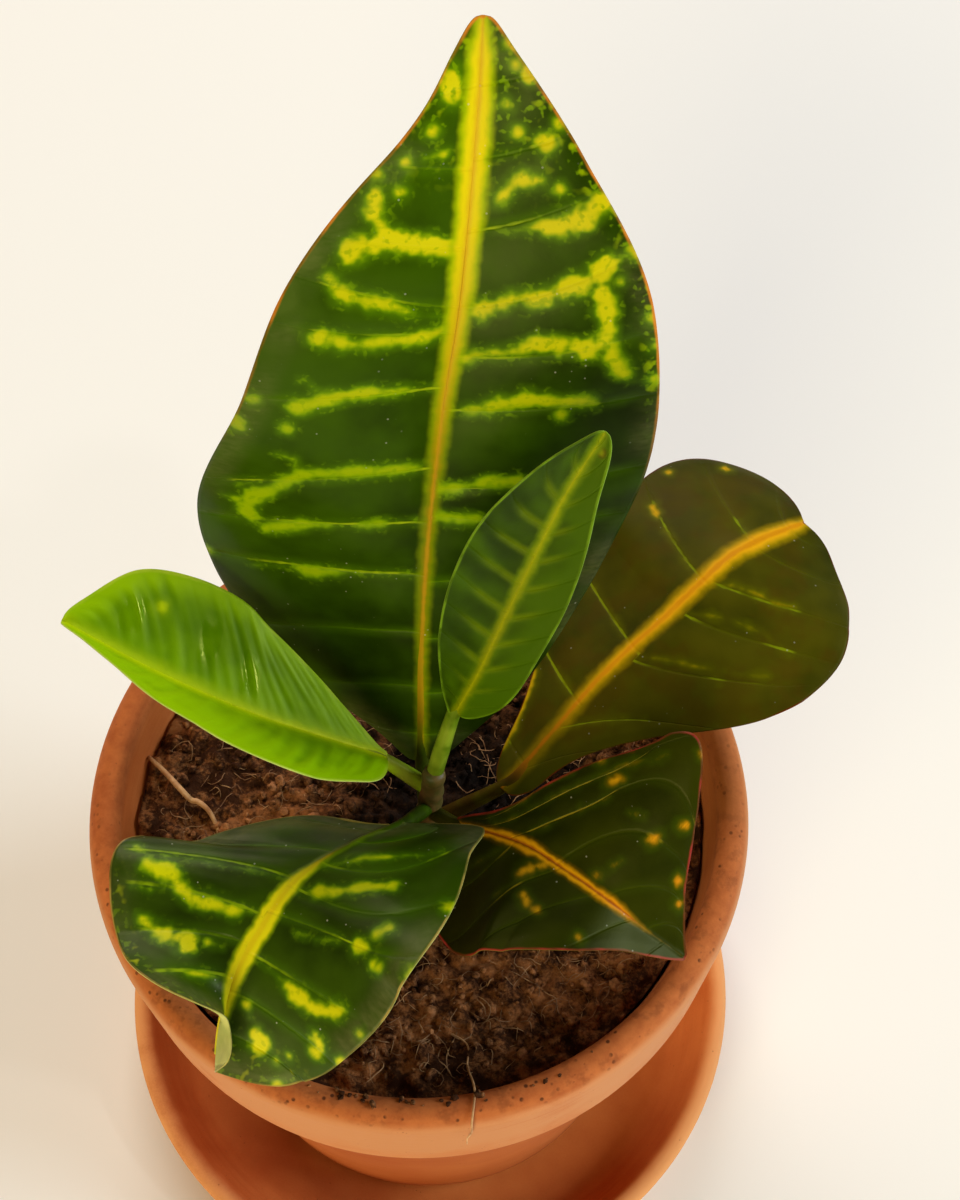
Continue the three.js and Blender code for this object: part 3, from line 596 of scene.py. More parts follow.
def stalk_rod(leaf):
    """The stalk, which runs on under the midrib, and each of its vertices' share along the midrib."""
    centres = [np.array(p, float) for p in leaf.stalk]
    radii = [leaf.stalk_radius] * 2
    shares = (0.02, 0.1, 0.2, 0.32, 0.45, 0.58, 0.7, 0.8, 0.88, 0.95)
    for share in shares:
        u = np.array([share])
        _, _, up, _ = blade_frame(leaf, u)
        thick = leaf.stalk_radius * 0.85
        radii.append(thick + (0.5 - thick) * math.sqrt(share))
        centres.append(rib_place(leaf, u)[0] - 0.55 * radii[-1] * up[0])
    steps = np.linspace(0, 1, 90)
    knots = np.linspace(0, 1, len(radii))
    sides = 16
    vertices, faces = rod(smooth_values(np.array(centres), steps), np.interp(steps, knots, radii), sides)
    along = np.concatenate([np.repeat(np.interp(steps, knots, (0, 0) + shares), sides), [0, 1]])
    return vertices, faces, along


def leaf_piece(name, leaf):
    """Blade with its relief, midrib and stalk, as one closed mesh with the fields that its material reads."""
    rows = leaf.rows
    even = np.linspace(0, 1, rows + 1)
    u_rows = 0.45 * even + 0.55 * (1 - np.cos(math.pi * even)) / 2
    half = leaf.half_columns
    gaps = 0.25 + 0.75 * ease(np.arange(half) / half, 0, 0.15)
    right_side = np.concatenate([[0], np.cumsum(gaps)]) / gaps.sum()
    v_columns = np.concatenate([-right_side[:0:-1], right_side])
    u, v = (grid.ravel() for grid in np.meshgrid(u_rows, v_columns, indexing="ij"))
    places, width = blade_surface(leaf, u, v)
    grid = places.reshape(rows + 1, len(v_columns), 3)
    normals = unit(np.cross(np.gradient(grid, axis=1), np.gradient(grid, axis=0))).reshape(-1, 3)

    # Distances from the midrib's middle, the margin, the veins and the strokes
    rib = np.abs(v * width - between(leaf.rib_shift, u))
    band = between(leaf.band, u)
    edge = np.full(len(u), FAR)
    for spot in np.concatenate([grid[:, 0], grid[:, -1], grid[-1]]):
        edge = np.minimum(edge, np.linalg.norm(places - spot, axis=1))
    phase, pitch = vein_places(leaf, u, v)
    mark, mark_size, line = stroke_fields(leaf, places)

    # Relief, and a sheet that gets thinner towards the margin
    blade_part = ease(rib, 0.5, 4) * ease(edge, 0, 3)
    bulge = np.abs(np.sin(math.pi * phase)) ** 0.8 - 0.6
    waves = np.array([noise.noise(Vector(p * 0.055)) + 0.4 * noise.noise(Vector(p * 0.14)) for p in places])
    pleats = np.array([noise.noise(Vector((1.7 * a, 1.6 * b, 4.0))) for a, b in zip(phase, v)])
    relief = leaf.quilt * bulge * blade_part + leaf.wave * waves * ease(rib, 0, 5)
    relief = relief + leaf.pleat * pleats * blade_part
    ridge = 0.28 * np.exp(-((rib / np.maximum(band, 0.5)) ** 2)) - 0.08 * np.exp(-((rib / 0.4) ** 2))
    thick = MARGIN_THICKNESS + (BLADE_THICKNESS - MARGIN_THICKNESS) * ease(edge, 0, 2)
    upper = places + normals * (thick / 2 + relief + ridge * ease(edge, 0, 1))[:, None]
    lower = places - normals * (thick / 2 - relief)[:, None]

    # Upper and lower face, a wall round the margin that closes them, and the stalk
    count = len(places)
    at = np.arange(count).reshape(rows + 1, -1)
    quads = np.stack([at[:-1, :-1], at[:-1, 1:], at[1:, 1:], at[1:, :-1]], axis=-1).reshape(-1, 4)
    rim = np.concatenate([at[0, :], at[1:, -1], at[-1, -2::-1], at[-2:0:-1, 0]])
    onward = np.roll(rim, -1)
    walls = np.stack([rim, rim + count, onward + count, onward], axis=-1)
    faces = np.concatenate([quads, quads[:, ::-1] + count, walls]).tolist()
    stalk_vertices, stalk_faces, stalk_along = stalk_rod(leaf)
    vertices, faces = join([(np.concatenate([upper, lower]), faces), (stalk_vertices, stalk_faces)])

    def field(upper_values, stalk_values, lower_values=None):
        lower_values = upper_values if lower_values is None else lower_values
        return np.concatenate([upper_values, lower_values, stalk_values + np.zeros(len(stalk_vertices))])

    attributes = {
        "rib": field(rib, 0),
        "band": field(band, between(leaf.band, stalk_along)),
        "mark": field(mark, FAR),
        "mark_size": field(mark_size, 0.5),
        "lit": field(ease(line, 1.7, 0.6), 0),
        "pleat": field(0.5 + 0.5 * pleats, 0.5),
        "edge": field(edge, FAR),
        "phase": field(phase, 0.5),
        "pitch": field(pitch, 5),
        "along": field(u, stalk_along),
        "across": field(v, 0),
        "under": field(np.zeros(count), 0, np.ones(count)),
        "stalk": field(np.zeros(count), ease(stalk_along, 0.12, 0.02)),
    }
    make_piece(name, vertices, faces, leaf_material(name, LOOKS[name]), leaf.slot, [name], attributes)


class Shader:
    """A material whose surface is one Principled shader fed by procedural nodes."""

    def __init__(self, name, **settings):
        self.material = bpy.data.materials.new(name)
        self.material.use_nodes = True
        self.tree = self.material.node_tree
        self.surface = self.tree.nodes["Principled BSDF"]
        self.colour = None
        for key, value in settings.items():
            self.feed(key.replace("_", " "), value)

    def put(self, socket, value):
        """Links a value to a socket, or sets the socket to it."""
        if isinstance(value, bpy.types.NodeSocket):
            self.tree.links.new(value, socket)
        else:
            socket.default_value = value

    def feed(self, key, value):
        self.put(self.surface.inputs[key], value)

    def node(self, kind, inputs, **settings):
        """The outputs of a new node."""
        node = self.tree.nodes.new("ShaderNode" + kind)
        for key, value in settings.items():
            setattr(node, key, value)
        for key, value in inputs.items():
            self.put(node.inputs[key], value)
        return node.outputs

    @cached_property
    def place(self):
        """The place of a point on the object."""
        return self.node("TexCoord", {})["Object"]

    def stretched(self, scale):
        """The place of a point on the object, stretched along its axes."""
        return self.node("Mapping", {"Vector": self.place, "Scale": scale})["Vector"]

    def field(self, name):
        return self.node("Attribute", {}, attribute_name=name)["Fac"]

    def noise(self, scale, detail=2.0, roughness=0.5, stretch=None):
        place = self.stretched(stretch) if stretch else self.place
        inputs = {"Vector": place, "Scale": scale, "Detail": detail, "Roughness": roughness}
        return self.node("TexNoise", inputs)["Fac"]

    def cells(self, scale):
        return self.node("TexVoronoi", {"Vector": self.place, "Scale": scale})["Distance"]

    def math(self, operation, *values):
        return self.node("Math", dict(enumerate(values)), operation=operation)["Value"]

    def scaled(self, value, factor, offset=0.0):
        return self.math("MULTIPLY_ADD", value, factor, offset)

    def swing(self, value, size):
        """A value from 0 to 1, turned into one from half the size below 0 to half above."""
        return self.scaled(value, size, -0.5 * size)

    def plus(self, total, *others):
        for other in others:
            total = self.math("ADD", total, other)
        return total

    def times(self, product, *others):
        for other in others:
            product = self.math("MULTIPLY", product, other)
        return product

    def off(self, value, middle):
        """How far a value is from the middle."""
        return self.math("ABSOLUTE", self.math("SUBTRACT", value, middle))

    def ease(self, value, low, high):
        """0 at low, 1 at high and smooth between. Low may be above high."""
        rising = float(low < high)
        inputs = {"Value": value, "From Min": min(low, high), "From Max": max(low, high)}
        inputs |= {"To Min": 1 - rising, "To Max": rising}
        return self.node("MapRange", inputs, interpolation_type="SMOOTHSTEP")["Result"]

    def blend(self, share, first, second):
        """The colour between two colours."""
        return self.node("Mix", {"Factor": share, 6: first, 7: second}, data_type="RGBA")[2]

    def paint(self, share, colour, strength=1.0):
        """Lays a colour over the colour that is there, as far as share says."""
        if strength > 0:
            share = share if strength == 1 else self.times(share, strength)
            self.colour = self.blend(share, self.colour, colour)

    def finish(self, *heights):
        """The material, with its colour and a bump of the heights in millimetres."""
        self.feed("Base Color", self.colour)
        bump = {"Strength": 1.0, "Distance": MM, "Height": self.plus(*heights)}
        self.feed("Normal", self.node("Bump", bump)["Normal"])
        return self.material


def leaf_material(name, look):
    """Leaf skin: green ground, side veins, painted marks, midrib, margin, and a paler underside."""
    s = Shader(name + "_skin", IOR=1.45, Specular_Tint=look.gloss, Specular_IOR_Level=look.shine)
    patch = s.noise(260)
    fine = s.noise(640, 1, 0.4)
    rib, band, mark, edge = s.field("rib"), s.field("band"), s.field("mark"), s.field("edge")
    across, along = s.field("across"), s.field("along")

    ground = s.plus(
        # Painted light: the half of the leaf that faces the light is painted lighter.
        s.scaled(across, look.lean, 0.05),
        s.scaled(s.noise(70), 0.9),
        # Lighter towards the tip and darker towards the base: partly the leaf's own tone, partly painted
        # shade near the plant's middle.
        s.swing(along, look.rise),
        s.swing(patch, 0.3),
        # Painted shade: the rows between the veins are painted lighter on the pleats' ridges and darker in
        # their furrows.
        s.swing(s.field("pleat"), look.streaks),
        s.scaled(s.ease(edge, 5.0, 0.5), look.pale_edge),
    )
    s.colour = s.blend(s.ease(ground, 0.05, 0.85), look.dark, look.light)
    if look.blush > 0:
        s.paint(s.ease(s.noise(110, 3, 0.6), 0.46, 0.62), tone(72, 44, 4), look.blush)

    # Side veins, and the glow round veins and marks
    turn = s.math("FRACT", s.field("phase"))
    from_vein = s.times(s.math("SUBTRACT", 0.5, s.off(turn, 0.5)), s.field("pitch"))
    wobbly = s.plus(from_vein, s.swing(fine, 0.3))
    wander = s.plus(s.swing(fine, 1.4), s.scaled(patch, 4.2, -2.0))
    near_mark = s.ease(s.plus(mark, s.times(wander, 0.6)), 2.3, 0.2)
    near_vein = s.times(s.ease(s.plus(wobbly, s.swing(patch, 2.0)), 2.0, -0.3), s.ease(edge, 0, 7))
    s.paint(s.math("MAXIMUM", s.times(near_mark, 0.55), s.times(near_vein, look.vein_glow)), look.glow)
    inside = s.ease(s.plus(s.math("ABSOLUTE", across), s.swing(patch, 0.6)), 0.95, 0.2)
    line = s.times(s.ease(wobbly, look.line_width, 0.05), s.ease(edge, 0.5, 6), inside)
    s.paint(line, look.line, look.line_strength)
    s.paint(s.times(s.ease(wobbly, 0.34, 0.1), s.field("lit"), s.ease(patch, 0.25, 0.6)), look.lit)

    # Marks, and the flecks near the tip and the right margin
    ragged = s.plus(mark, s.times(wander, s.scaled(s.field("mark_size"), 0.8, 0.1)))
    s.paint(s.ease(ragged, 1.05, 0.0), look.fringe)
    mark_colour = s.blend(s.scaled(s.ease(along, 0.4, 0.8), 0.7), look.mark, look.rib_tip)
    s.paint(s.ease(ragged, 0.6, -0.5), mark_colour)
    if look.flecks > 0:
        tip = s.ease(along, 0.78, 0.95)
        side = s.times(s.ease(edge, 3.6, 1.0), s.ease(across, 0.3, 0.7), s.ease(along, 0.5, 0.65))
        tip_or_side = s.math("MAXIMUM", tip, s.times(side, 0.8))
        where = s.math("MAXIMUM", s.times(s.ease(mark, 2.6, 0.4), 0.6), tip_or_side)
        s.paint(s.times(s.ease(s.noise(900, 1, 0.4), 0.56, 0.7), where), look.fringe, look.flecks)
        dots = s.times(s.ease(s.noise(480, 1, 0.4), 0.6, 0.74), s.math("MAXIMUM", tip, side))
        s.paint(dots, look.mark, look.flecks)

    # Midrib
    soft = look.rib_soft
    from_band = s.plus(s.math("SUBTRACT", rib, band), s.swing(fine, 0.6), s.swing(patch, 0.9))
    turned_yellow = s.ease(along, *look.rib_turn)
    s.paint(s.times(s.ease(from_band, soft, -0.1 * soft), s.scaled(turned_yellow, 0.6, 0.4)), look.rib_edge)
    rib_colour = s.blend(turned_yellow, look.rib_base, look.rib_tip)
    s.paint(s.ease(from_band, 0.3 * soft, -0.7 * soft), rib_colour)
    middle = s.math("DIVIDE", s.plus(rib, s.swing(fine, 0.4)), s.scaled(band, 1.0, 0.5))
    s.paint(s.times(s.ease(middle, 0.42, 0.06), s.ease(band, 0.1, 0.8)), look.centre, look.centre_strength)

    # Painted sheen near the margin, dust and the coloured margin
    if look.bloom > 0:
        # Painted sheen: a pale grey reflection painted in patches within a few millimetres of the margin,
        # broken into wrinkles.
        sheen_near_margin = s.times(s.ease(edge, 6, 2), s.ease(s.noise(45), 0.42, 0.6))
        wrinkles = s.scaled(s.noise(500, stretch=(1, 1, 3)), 1.2)
        s.paint(s.times(sheen_near_margin, wrinkles), tone(120, 118, 74), look.bloom)
    if look.dust > 0:
        dust = s.times(s.ease(s.cells(480), 0.1, 0.06), s.ease(s.noise(170), 0.52, 0.6))
        s.paint(dust, tone(214, 214, 196), look.dust)
    width, start = look.margin_width, look.margin_from
    rim = s.ease(s.plus(edge, s.swing(patch, 0.8 * width)), width, 0.3 * width)
    broken = s.scaled(s.ease(s.noise(150), 0.4, 0.6), 0.7, 0.3)
    s.paint(s.times(rim, s.ease(along, start, start + 0.3), broken), look.margin, 0.9)

    # Underside and stalk
    below = s.blend(s.times(line, 0.5), look.under, look.rib_tip)
    s.paint(s.field("under"), s.blend(s.scaled(s.ease(patch, 0.35, 0.75), 0.35), below, look.line))
    s.paint(s.field("stalk"), s.blend(s.ease(patch, 0.3, 0.8), look.stalk, look.light))

    # Gloss and relief
    rough = s.scaled(patch, 0.2, look.roughness - 0.1)
    for spot_along, spot_across in look.wet:
        wet = s.ease(s.off(along, spot_along), 0.045, 0.02)
        wet = s.times(wet, s.ease(s.off(across, spot_across), 0.3, 0.1))
        rough = s.math("SUBTRACT", rough, s.scaled(wet, 0.3))
    s.feed("Roughness", s.plus(rough, s.scaled(s.field("under"), 0.2)))
    groove = -0.06 if look.line_strength > 0 else 0.0
    grain = s.noise(2400)
    return s.finish(s.scaled(s.ease(wobbly, 0.5, 0.05), groove), s.scaled(grain, 0.012), s.scaled(fine, 0.02))


def clay_material(name, light, dark, paler_and_lit_outside, soiled):
    """Unglazed fired clay: soft patches, faint turned bands, a few pores, a paler outer face that is partly
    painted light and, on the pot, painted shade below the collar and soil marks near the rim.
    """
    s = Shader(name, IOR=1.4, Specular_IOR_Level=0.2)
    patch = s.noise(110, 3, 0.55)
    grain = s.noise(2200, 3, 0.6)
    bands = s.noise(60, stretch=(1, 1, 14))
    broad = s.scaled(s.noise(22, 3, 0.6), 0.75)
    ground = s.plus(broad, s.scaled(patch, 0.25), s.swing(bands, 0.2), s.swing(grain, 0.12))
    s.colour = s.blend(s.ease(ground, 0.25, 0.8), dark, light)

    # Places in metres: the collar is above 88 mm, the rim's top at 116 mm and its outer edge at 60 mm
    x, y, z = s.node("SeparateXYZ", {"Vector": s.place})
    radius = s.plus(s.math("SQRT", s.plus(s.times(x, x), s.times(y, y))), s.swing(patch, 0.002))
    if soiled:
        collar = s.times(s.ease(z, 0.0865, 0.0885), s.ease(z, 0.1158, 0.1128))
        outside = s.times(s.ease(radius, 0.0572, 0.0592), collar)
    else:
        outside = s.ease(radius, 0.061, 0.0645)
    # The outer face is painted paler: partly the clay's own drier tone, partly painted light where it catches
    # the light.
    s.paint(s.times(outside, s.ease(ground, 0.2, 0.5)), paler_and_lit_outside)
    if soiled:
        # Painted shade: the pot below its collar, where the collar shades it, is painted darker.
        s.paint(s.ease(z, 0.0885, 0.0865), tone(148, 70, 34), 0.5)
        top = s.times(s.ease(z, 0.111, 0.1142), s.ease(radius, 0.0598, 0.0586))
        stained = s.ease(s.plus(ground, s.swing(s.noise(420, 3, 0.6), 0.6)), 0.15, 0.75)
        s.paint(top, s.blend(stained, tone(150, 74, 36), tone(196, 112, 60)), 0.8)
    pore = s.times(s.ease(s.cells(700), 0.16, 0.06), s.ease(s.noise(300, 1), 0.56, 0.64))
    s.paint(pore, tone(110, 56, 28), 0.4)
    if soiled:
        front = s.times(top, s.ease(y, 0.03, -0.03))
        dirt = s.times(s.ease(s.cells(620), 0.3, 0.14), s.ease(s.noise(210), 0.46, 0.58))
        s.paint(s.times(dirt, front), tone(62, 32, 18), 0.85)
        smudge = s.ease(s.noise(330, 3, 0.65), 0.5, 0.66)
        s.paint(s.times(smudge, front), tone(96, 50, 26), 0.35)
    s.feed("Roughness", s.scaled(patch, 0.16, 0.76))
    return s.finish(s.scaled(grain, 0.03), s.scaled(bands, 0.08), s.scaled(pore, -0.06))


def soil_material(name, dark, light, fibre):
    """Dark crumbly peat with pale threads, and painted shade round the stem."""
    s = Shader(name, Roughness=0.92, IOR=1.35, Specular_IOR_Level=0.2)
    patch = s.noise(230, 3, 0.65)
    grain = s.noise(1100, 4, 0.7)
    ground = s.plus(s.scaled(patch, 0.7), s.scaled(grain, 0.45), s.swing(s.noise(45), 0.4))
    s.colour = s.blend(s.ease(ground, 0.47, 0.72), dark, light)
    threads = s.off(s.noise(420, 3, 0.6, stretch=(1, 5, 2)), 0.5)
    s.paint(s.times(s.ease(threads, 0.018, 0.006), s.ease(patch, 0.45, 0.65)), fibre, 0.6)
    # Painted shade: the soil round the stem, where the leaves keep the light off, is painted near black.
    flat = {0: s.stretched((1, 1, 0)), 1: SHADE_MIDDLE_M}
    away = s.node("VectorMath", flat, operation="DISTANCE")["Value"]
    s.paint(s.ease(s.plus(away, s.swing(patch, 0.012)), 0.036, 0.014), tone(12, 6, 3), 0.94)
    return s.finish(s.scaled(grain, 0.6), s.scaled(patch, 0.5))


def plain_material(name, dark, light, scale, roughness):
    """One colour with soft variation at the given scale."""
    s = Shader(name, Roughness=roughness, IOR=1.4)
    spots = s.noise(scale, 3, 0.6)
    s.colour = s.blend(s.ease(spots, 0.3, 0.7), dark, light)
    return s.finish(s.scaled(spots, 0.1))


def softened(profile, closes, cut):
    """The profile with each corner rounded by a short curve."""
    points = [np.array(p, float) for p in profile]
    result = []
    for i, corner in enumerate(points):
        if not closes and i in (0, len(points) - 1):
            result.append(tuple(corner))
            continue
        ends = []
        for beside in (points[i - 1], points[(i + 1) % len(points)]):
            ends.append(corner + unit(beside - corner) * min(cut, 0.42 * np.linalg.norm(beside - corner)))
        for t in (0, 0.25, 0.5, 0.75, 1):
            result.append(tuple((1 - t) ** 2 * ends[0] + 2 * t * (1 - t) * corner + t**2 * ends[1]))
    return result


def filled(profile, closes):
    """The profile with points added so that no step is too long."""
    result = []
    ends = profile[1:] + profile[:1] if closes else profile[1:]
    for a, b in zip(profile, ends):
        steps = max(1, math.ceil(math.dist(a, b) / LONGEST_STEP))
        result += [tuple(np.array(a) + (np.array(b) - np.array(a)) * k / steps) for k in range(steps)]
    return result if closes else result + [profile[-1]]


def turned(profile, closes, corner):
    """Vertices and faces of a piece turned about the Z axis. Its profile closes, or ends on the axis."""
    vertices = []
    rings = []
    for radius, height in filled(softened(profile, closes, corner), closes):
        first = len(vertices)
        if radius < 1e-6:
            rings.append([first] * TURNS)
            vertices.append((0, 0, height))
        else:
            rings.append(range(first, first + TURNS))
            vertices += [(radius * x, radius * y, height) for x, y in circle(TURNS)]
    faces = []
    for low, high in zip(rings, rings[1:] + (rings[:1] if closes else [])):
        for k in range(TURNS):
            n = (k + 1) % TURNS
            faces.append(tuple(dict.fromkeys((low[k], low[n], high[n], high[k]))))
    return vertices, faces


def lump(place):
    """0 in the cracks between crumbs, and up to 0.5 on them."""
    near, next_near = noise.voronoi(place)[0][:2]
    return min(next_near - near, 0.5)


def soil_top(x, y):
    """Height of the soil with its lumps and crumbs."""
    broad = math.sin(x * 0.11 + 1.3) * math.cos(y * 0.13 - 0.4)
    clods = math.sin(x * 0.37 + 2.1 * math.sin(y * 0.19)) * math.sin(y * 0.41 + 1.7 * math.sin(x * 0.23))
    height = SOIL_LEVEL + SOIL_LUMP * (0.55 * broad + 0.45 * clods)
    place = Vector((x, y, 3.0))
    height += 1.15 * (2.2 * lump(place / 4.2) - 0.6) + 0.9 * (lump(place / 1.8 + Vector((9, 4, 1))) - 0.3)
    rough = noise.noise(place / 2.6) + 0.6 * noise.noise(place / 1.2) + 0.35 * noise.noise(place / 0.6)
    return height + 0.65 * rough


def soil_piece(material):
    """Soil that fills the pot, round the stem's hole."""

    def level(ring, z):
        return np.column_stack([ring, np.full(SOIL_TURNS, float(z))])

    inner = np.array(STEM_FOOT, float) + STEM_HOLE_RADIUS * circle(SOIL_TURNS)
    outer = SOIL_EDGE * circle(SOIL_TURNS)
    rings = [level(inner, z) for z in STEM_HOLE_HEIGHTS]
    for k in range(SOIL_RINGS + 1):
        flat = inner + (outer - inner) * k / SOIL_RINGS
        rings.append(np.column_stack([flat, [soil_top(x, y) for x, y in flat]]))
    rings += [level(radius * circle(SOIL_TURNS), z) for radius, z in SOIL_SIDES]
    vertices = np.concatenate(rings + [[(*STEM_FOOT, STEM_HOLE_HEIGHTS[0])], [(0, 0, SOIL_SIDES[-1][1])]])
    faces = ring_faces(len(rings), SOIL_TURNS, inward=True)
    make_piece("soil_bed", vertices, faces, material, "potting_soil", ["soil"])


def round_lump():
    """Vertices and faces of a small round lump of radius 1."""
    phi = (1 + math.sqrt(5)) / 2
    flat = [(-1, phi, 0), (1, phi, 0), (-1, -phi, 0), (1, -phi, 0)]
    vertices = [unit(np.roll(np.array(p, float), turn)) for turn in range(3) for p in flat]
    faces = []
    for a in range(12):
        near = [b for b in range(a + 1, 12) if np.linalg.norm(vertices[a] - vertices[b]) < 1.1]
        for b, c in itertools.combinations(near, 2):
            if np.linalg.norm(vertices[b] - vertices[c]) < 1.1:
                outward = np.linalg.det([vertices[a], vertices[b], vertices[c]]) > 0
                faces.append((a, b, c) if outward else (a, c, b))
    halves = {}
    finer = []
    for a, b, c in faces:
        for p, q in ((a, b), (b, c), (c, a)):
            if (p, q) not in halves:
                halves[p, q] = halves[q, p] = len(vertices)
                vertices.append(unit(vertices[p] + vertices[q]))
        ab, bc, ca = halves[a, b], halves[b, c], halves[c, a]
        finer += [(a, ab, ca), (b, bc, ab), (c, ca, bc), (ab, bc, ca)]
    return np.array(vertices), finer


LUMP = round_lump()


def crumb(centre, size):
    """An uneven crumb of soil."""
    vertices, faces = LUMP
    shift = random.uniform(0, 50, 3)
    stretch = random.uniform(0.6, 1.25, 3)
    turn = np.array(Matrix.Rotation(random.uniform(0, 6.28), 3, Vector(random.normal(size=3)).normalized()))
    bumps = [1 + 0.5 * noise.noise(Vector(p * 1.5 + shift)) + 0.4 * noise.noise(Vector(p * 3.6 + shift))
             for p in vertices]
    return (vertices * np.array(bumps)[:, None] * stretch) @ turn.T * size + np.array(centre), faces


def spot_on_soil(reach, least_share):
    """A random place on the soil, evenly spread out to the reach."""
    away = reach * math.sqrt(random.uniform(least_share, 1))
    bearing = random.uniform(0, 2 * math.pi)
    return away * math.cos(bearing), away * math.sin(bearing)


def soil_crumbs():
    """Crumbs that lie on the soil."""
    crumbs = []
    for _ in range(CRUMBS):
        x, y = spot_on_soil(CRUMB_REACH, 0.01)
        if math.dist((x, y), STEM_FOOT) >= CRUMB_CLEARANCE:
            size = 0.28 + 0.85 * random.uniform() ** 2.4
            crumbs.append(crumb((x, y, soil_top(x, y) + 0.25 * size), size))
    return join(crumbs)


def rim_crumbs():
    """Crumbs that lie on the front of the rim."""
    rim = sorted((radius, height) for radius, height in POT_PROFILE if height > RIM_FROM)
    crumbs = []
    for _ in range(RIM_CRUMBS):
        bearing = math.radians(random.normal(*RIM_CRUMB_BEARING))
        reach = random.uniform(*RIM_CRUMB_REACH)
        size = 0.2 + 0.55 * random.uniform() ** 2
        height = between(rim, reach) + 0.3 * size
        crumbs.append(crumb((reach * math.cos(bearing), reach * math.sin(bearing), height), size))
    return join(crumbs)


def strand(points, radius, sides, rings):
    """A thin root or fibre through the points, thinner at both ends."""
    share = np.linspace(0, 1, rings)
    centres, _ = walk(points, share)
    return rod(centres, radius * (0.45 + 0.55 * np.sin(math.pi * np.clip(share, 0.02, 0.98)) ** 0.5), sides)


def soil_fibres():
    """Short fibres that lie on the soil, their ends in it."""
    fibres = []
    for _ in range(FIBRES):
        x, y = spot_on_soil(FIBRE_REACH, 0.02)
        heading = random.uniform(0, 2 * math.pi)
        bend = random.normal(0, 0.35)
        steps = random.integers(5, 9)
        length = random.uniform(0.4, 1.5)
        lift = random.uniform(0.2, 1.2)
        points = []
        for k in range(steps):
            if math.hypot(x, y) > FIBRE_END_REACH:
                break
            rise = lift * math.sin(math.pi * k / (steps - 1)) - 0.25
            points.append((x, y, soil_top(x, y) + rise))
            x += length * math.cos(heading)
            y += length * math.sin(heading)
            heading += bend + random.normal(0, 0.45)
        if len(points) >= 4 and math.dist(points[0][:2], STEM_FOOT) > FIBRE_CLEARANCE:
            fibres.append(strand(points, random.uniform(0.05, 0.12), 4, 9))
    return join(fibres)


def stem():
    """The stem with a swollen ring where each leaf stalk leaves it."""
    share = np.linspace(0, 1, 110)
    centres, _ = walk(STEM_PATH, share)
    radii = np.interp(share, np.linspace(0, 1, 4), STEM_RADII)
    for z in STEM_JOINTS:
        radii = radii + 0.22 * np.exp(-(((centres[:, 2] - z) / 0.9) ** 2))
    radii[-2:] *= (0.85, 0.55)
    return rod(centres, radii, 36)


def area_light(name, bearing, rise, distance, size, power, colour):
    """A soft square light that looks at the plant."""
    data = bpy.data.lights.new(name, "AREA")
    data.size = size
    data.energy = power
    data.color = colour
    lamp = linked(name, data)
    a, e = math.radians(bearing), math.radians(rise)
    away = Vector((math.sin(a) * math.cos(e), math.cos(a) * math.cos(e), math.sin(e)))
    lamp.location = Vector(LIGHT_AIM) + away * distance
    lamp.rotation_mode = "QUATERNION"
    lamp.rotation_quaternion = away.to_track_quat("Z", "Y")


def photo_camera():
    """The camera at the photo's viewing angle."""
    data = bpy.data.cameras.new("camera")
    data.lens = CAMERA_LENS
    data.sensor_width = CAMERA_SENSOR
    data.clip_start = 0.01
    camera = linked("camera", data)
    camera.location = CAMERA_PLACE_M
    camera.rotation_euler = (math.pi / 2 - CAMERA_PITCH, 0, -CAMERA_YAW)
    bpy.context.scene.camera = camera


# Pot and saucer
clay = clay_material("pot_clay", tone(204, 122, 63), tone(174, 85, 36), tone(196, 132, 88), True)
saucer_clay = clay_material("saucer_clay", tone(204, 120, 61), tone(172, 82, 34), tone(220, 150, 94), False)
make_piece("clay_pot", *turned(POT_PROFILE, True, POT_CORNER), clay, "terracotta_pot", ["terracotta_pot"])
saucer = turned(SAUCER_PROFILE, False, SAUCER_CORNER)
make_piece("clay_saucer", *saucer, saucer_clay, "terracotta_saucer", ["saucer"])

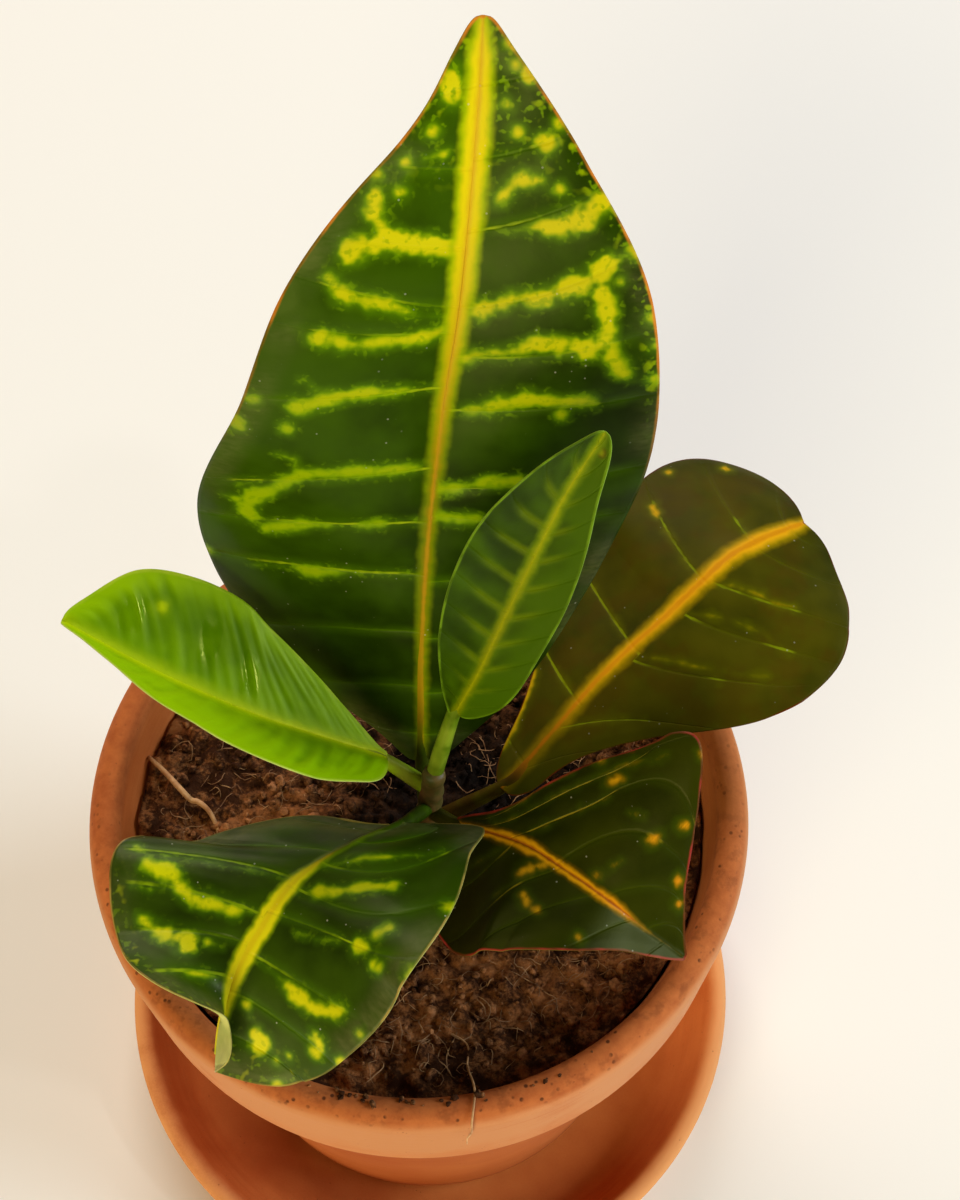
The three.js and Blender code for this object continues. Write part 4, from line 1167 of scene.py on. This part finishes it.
# Soil, crumbs and fibres
thread_tone = tone(170, 126, 84)
peat = soil_material("peat", tone(56, 30, 14), tone(160, 100, 57), thread_tone)
crumb_peat = soil_material("crumb_peat", tone(60, 33, 17), tone(178, 118, 74), thread_tone)
root_skin = plain_material("root_skin", tone(110, 70, 42), tone(180, 136, 92), 500, 0.7)
pale_root = plain_material("pale_root_skin", tone(158, 108, 68), tone(204, 158, 110), 500, 0.6)
soil_piece(peat)
make_piece("soil_crumbs", *soil_crumbs(), crumb_peat, "potting_soil")
make_piece("soil_fibres", *soil_fibres(), root_skin, "potting_soil")

# A pale root on the soil, a fibre over the front of the rim, and crumbs that lie on the rim
root = [(x, y, soil_top(x, y) + 0.3 + lift) for x, y, lift in SURFACE_ROOT]
make_piece("surface_root", *strand(root, 0.55, 10, 60), pale_root, "potting_soil")
hanging = [(x, y, soil_top(x, y) + 0.4) for x, y in HANGING_START] + HANGING_END
make_piece("rim_fibre", *strand(hanging, 0.2, 8, 90), pale_root, "potting_soil")
make_piece("rim_crumbs", *rim_crumbs(), crumb_peat, "potting_soil")

# Stem and leaves
stem_skin = plain_material("stem_skin", tone(60, 66, 14), tone(108, 82, 42), 260, 0.5)
make_piece("stem_stick", *stem(), stem_skin, "stem_bark", ["stem"])
for leaf_name, leaf in LEAVES.items():
    leaf_piece(leaf_name, leaf)

# Floor, light and camera
floor_mesh = bpy.data.meshes.new("floor")
corners = [(FLOOR_HALF_M * x, FLOOR_HALF_M * y, 0) for x, y in ((-1, -1), (1, -1), (1, 1), (-1, 1))]
floor_mesh.from_pydata(corners, [], [(0, 1, 2, 3)])
floor_mesh.materials.append(Shader("floor_paper", Base_Color=(0.88, 0.88, 0.88, 1), Roughness=0.9).material)
floor = linked("floor", floor_mesh)
for light_name, values in LIGHTS.items():
    area_light(light_name, *values)
world = bpy.data.worlds.new("studio")
world.use_nodes = True
background = world.node_tree.nodes["Background"]
background.inputs["Color"].default_value = WORLD_COLOUR
background.inputs["Strength"].default_value = WORLD_STRENGTH
bpy.context.scene.world = world
bpy.context.scene.view_settings.view_transform = "Standard"
photo_camera()
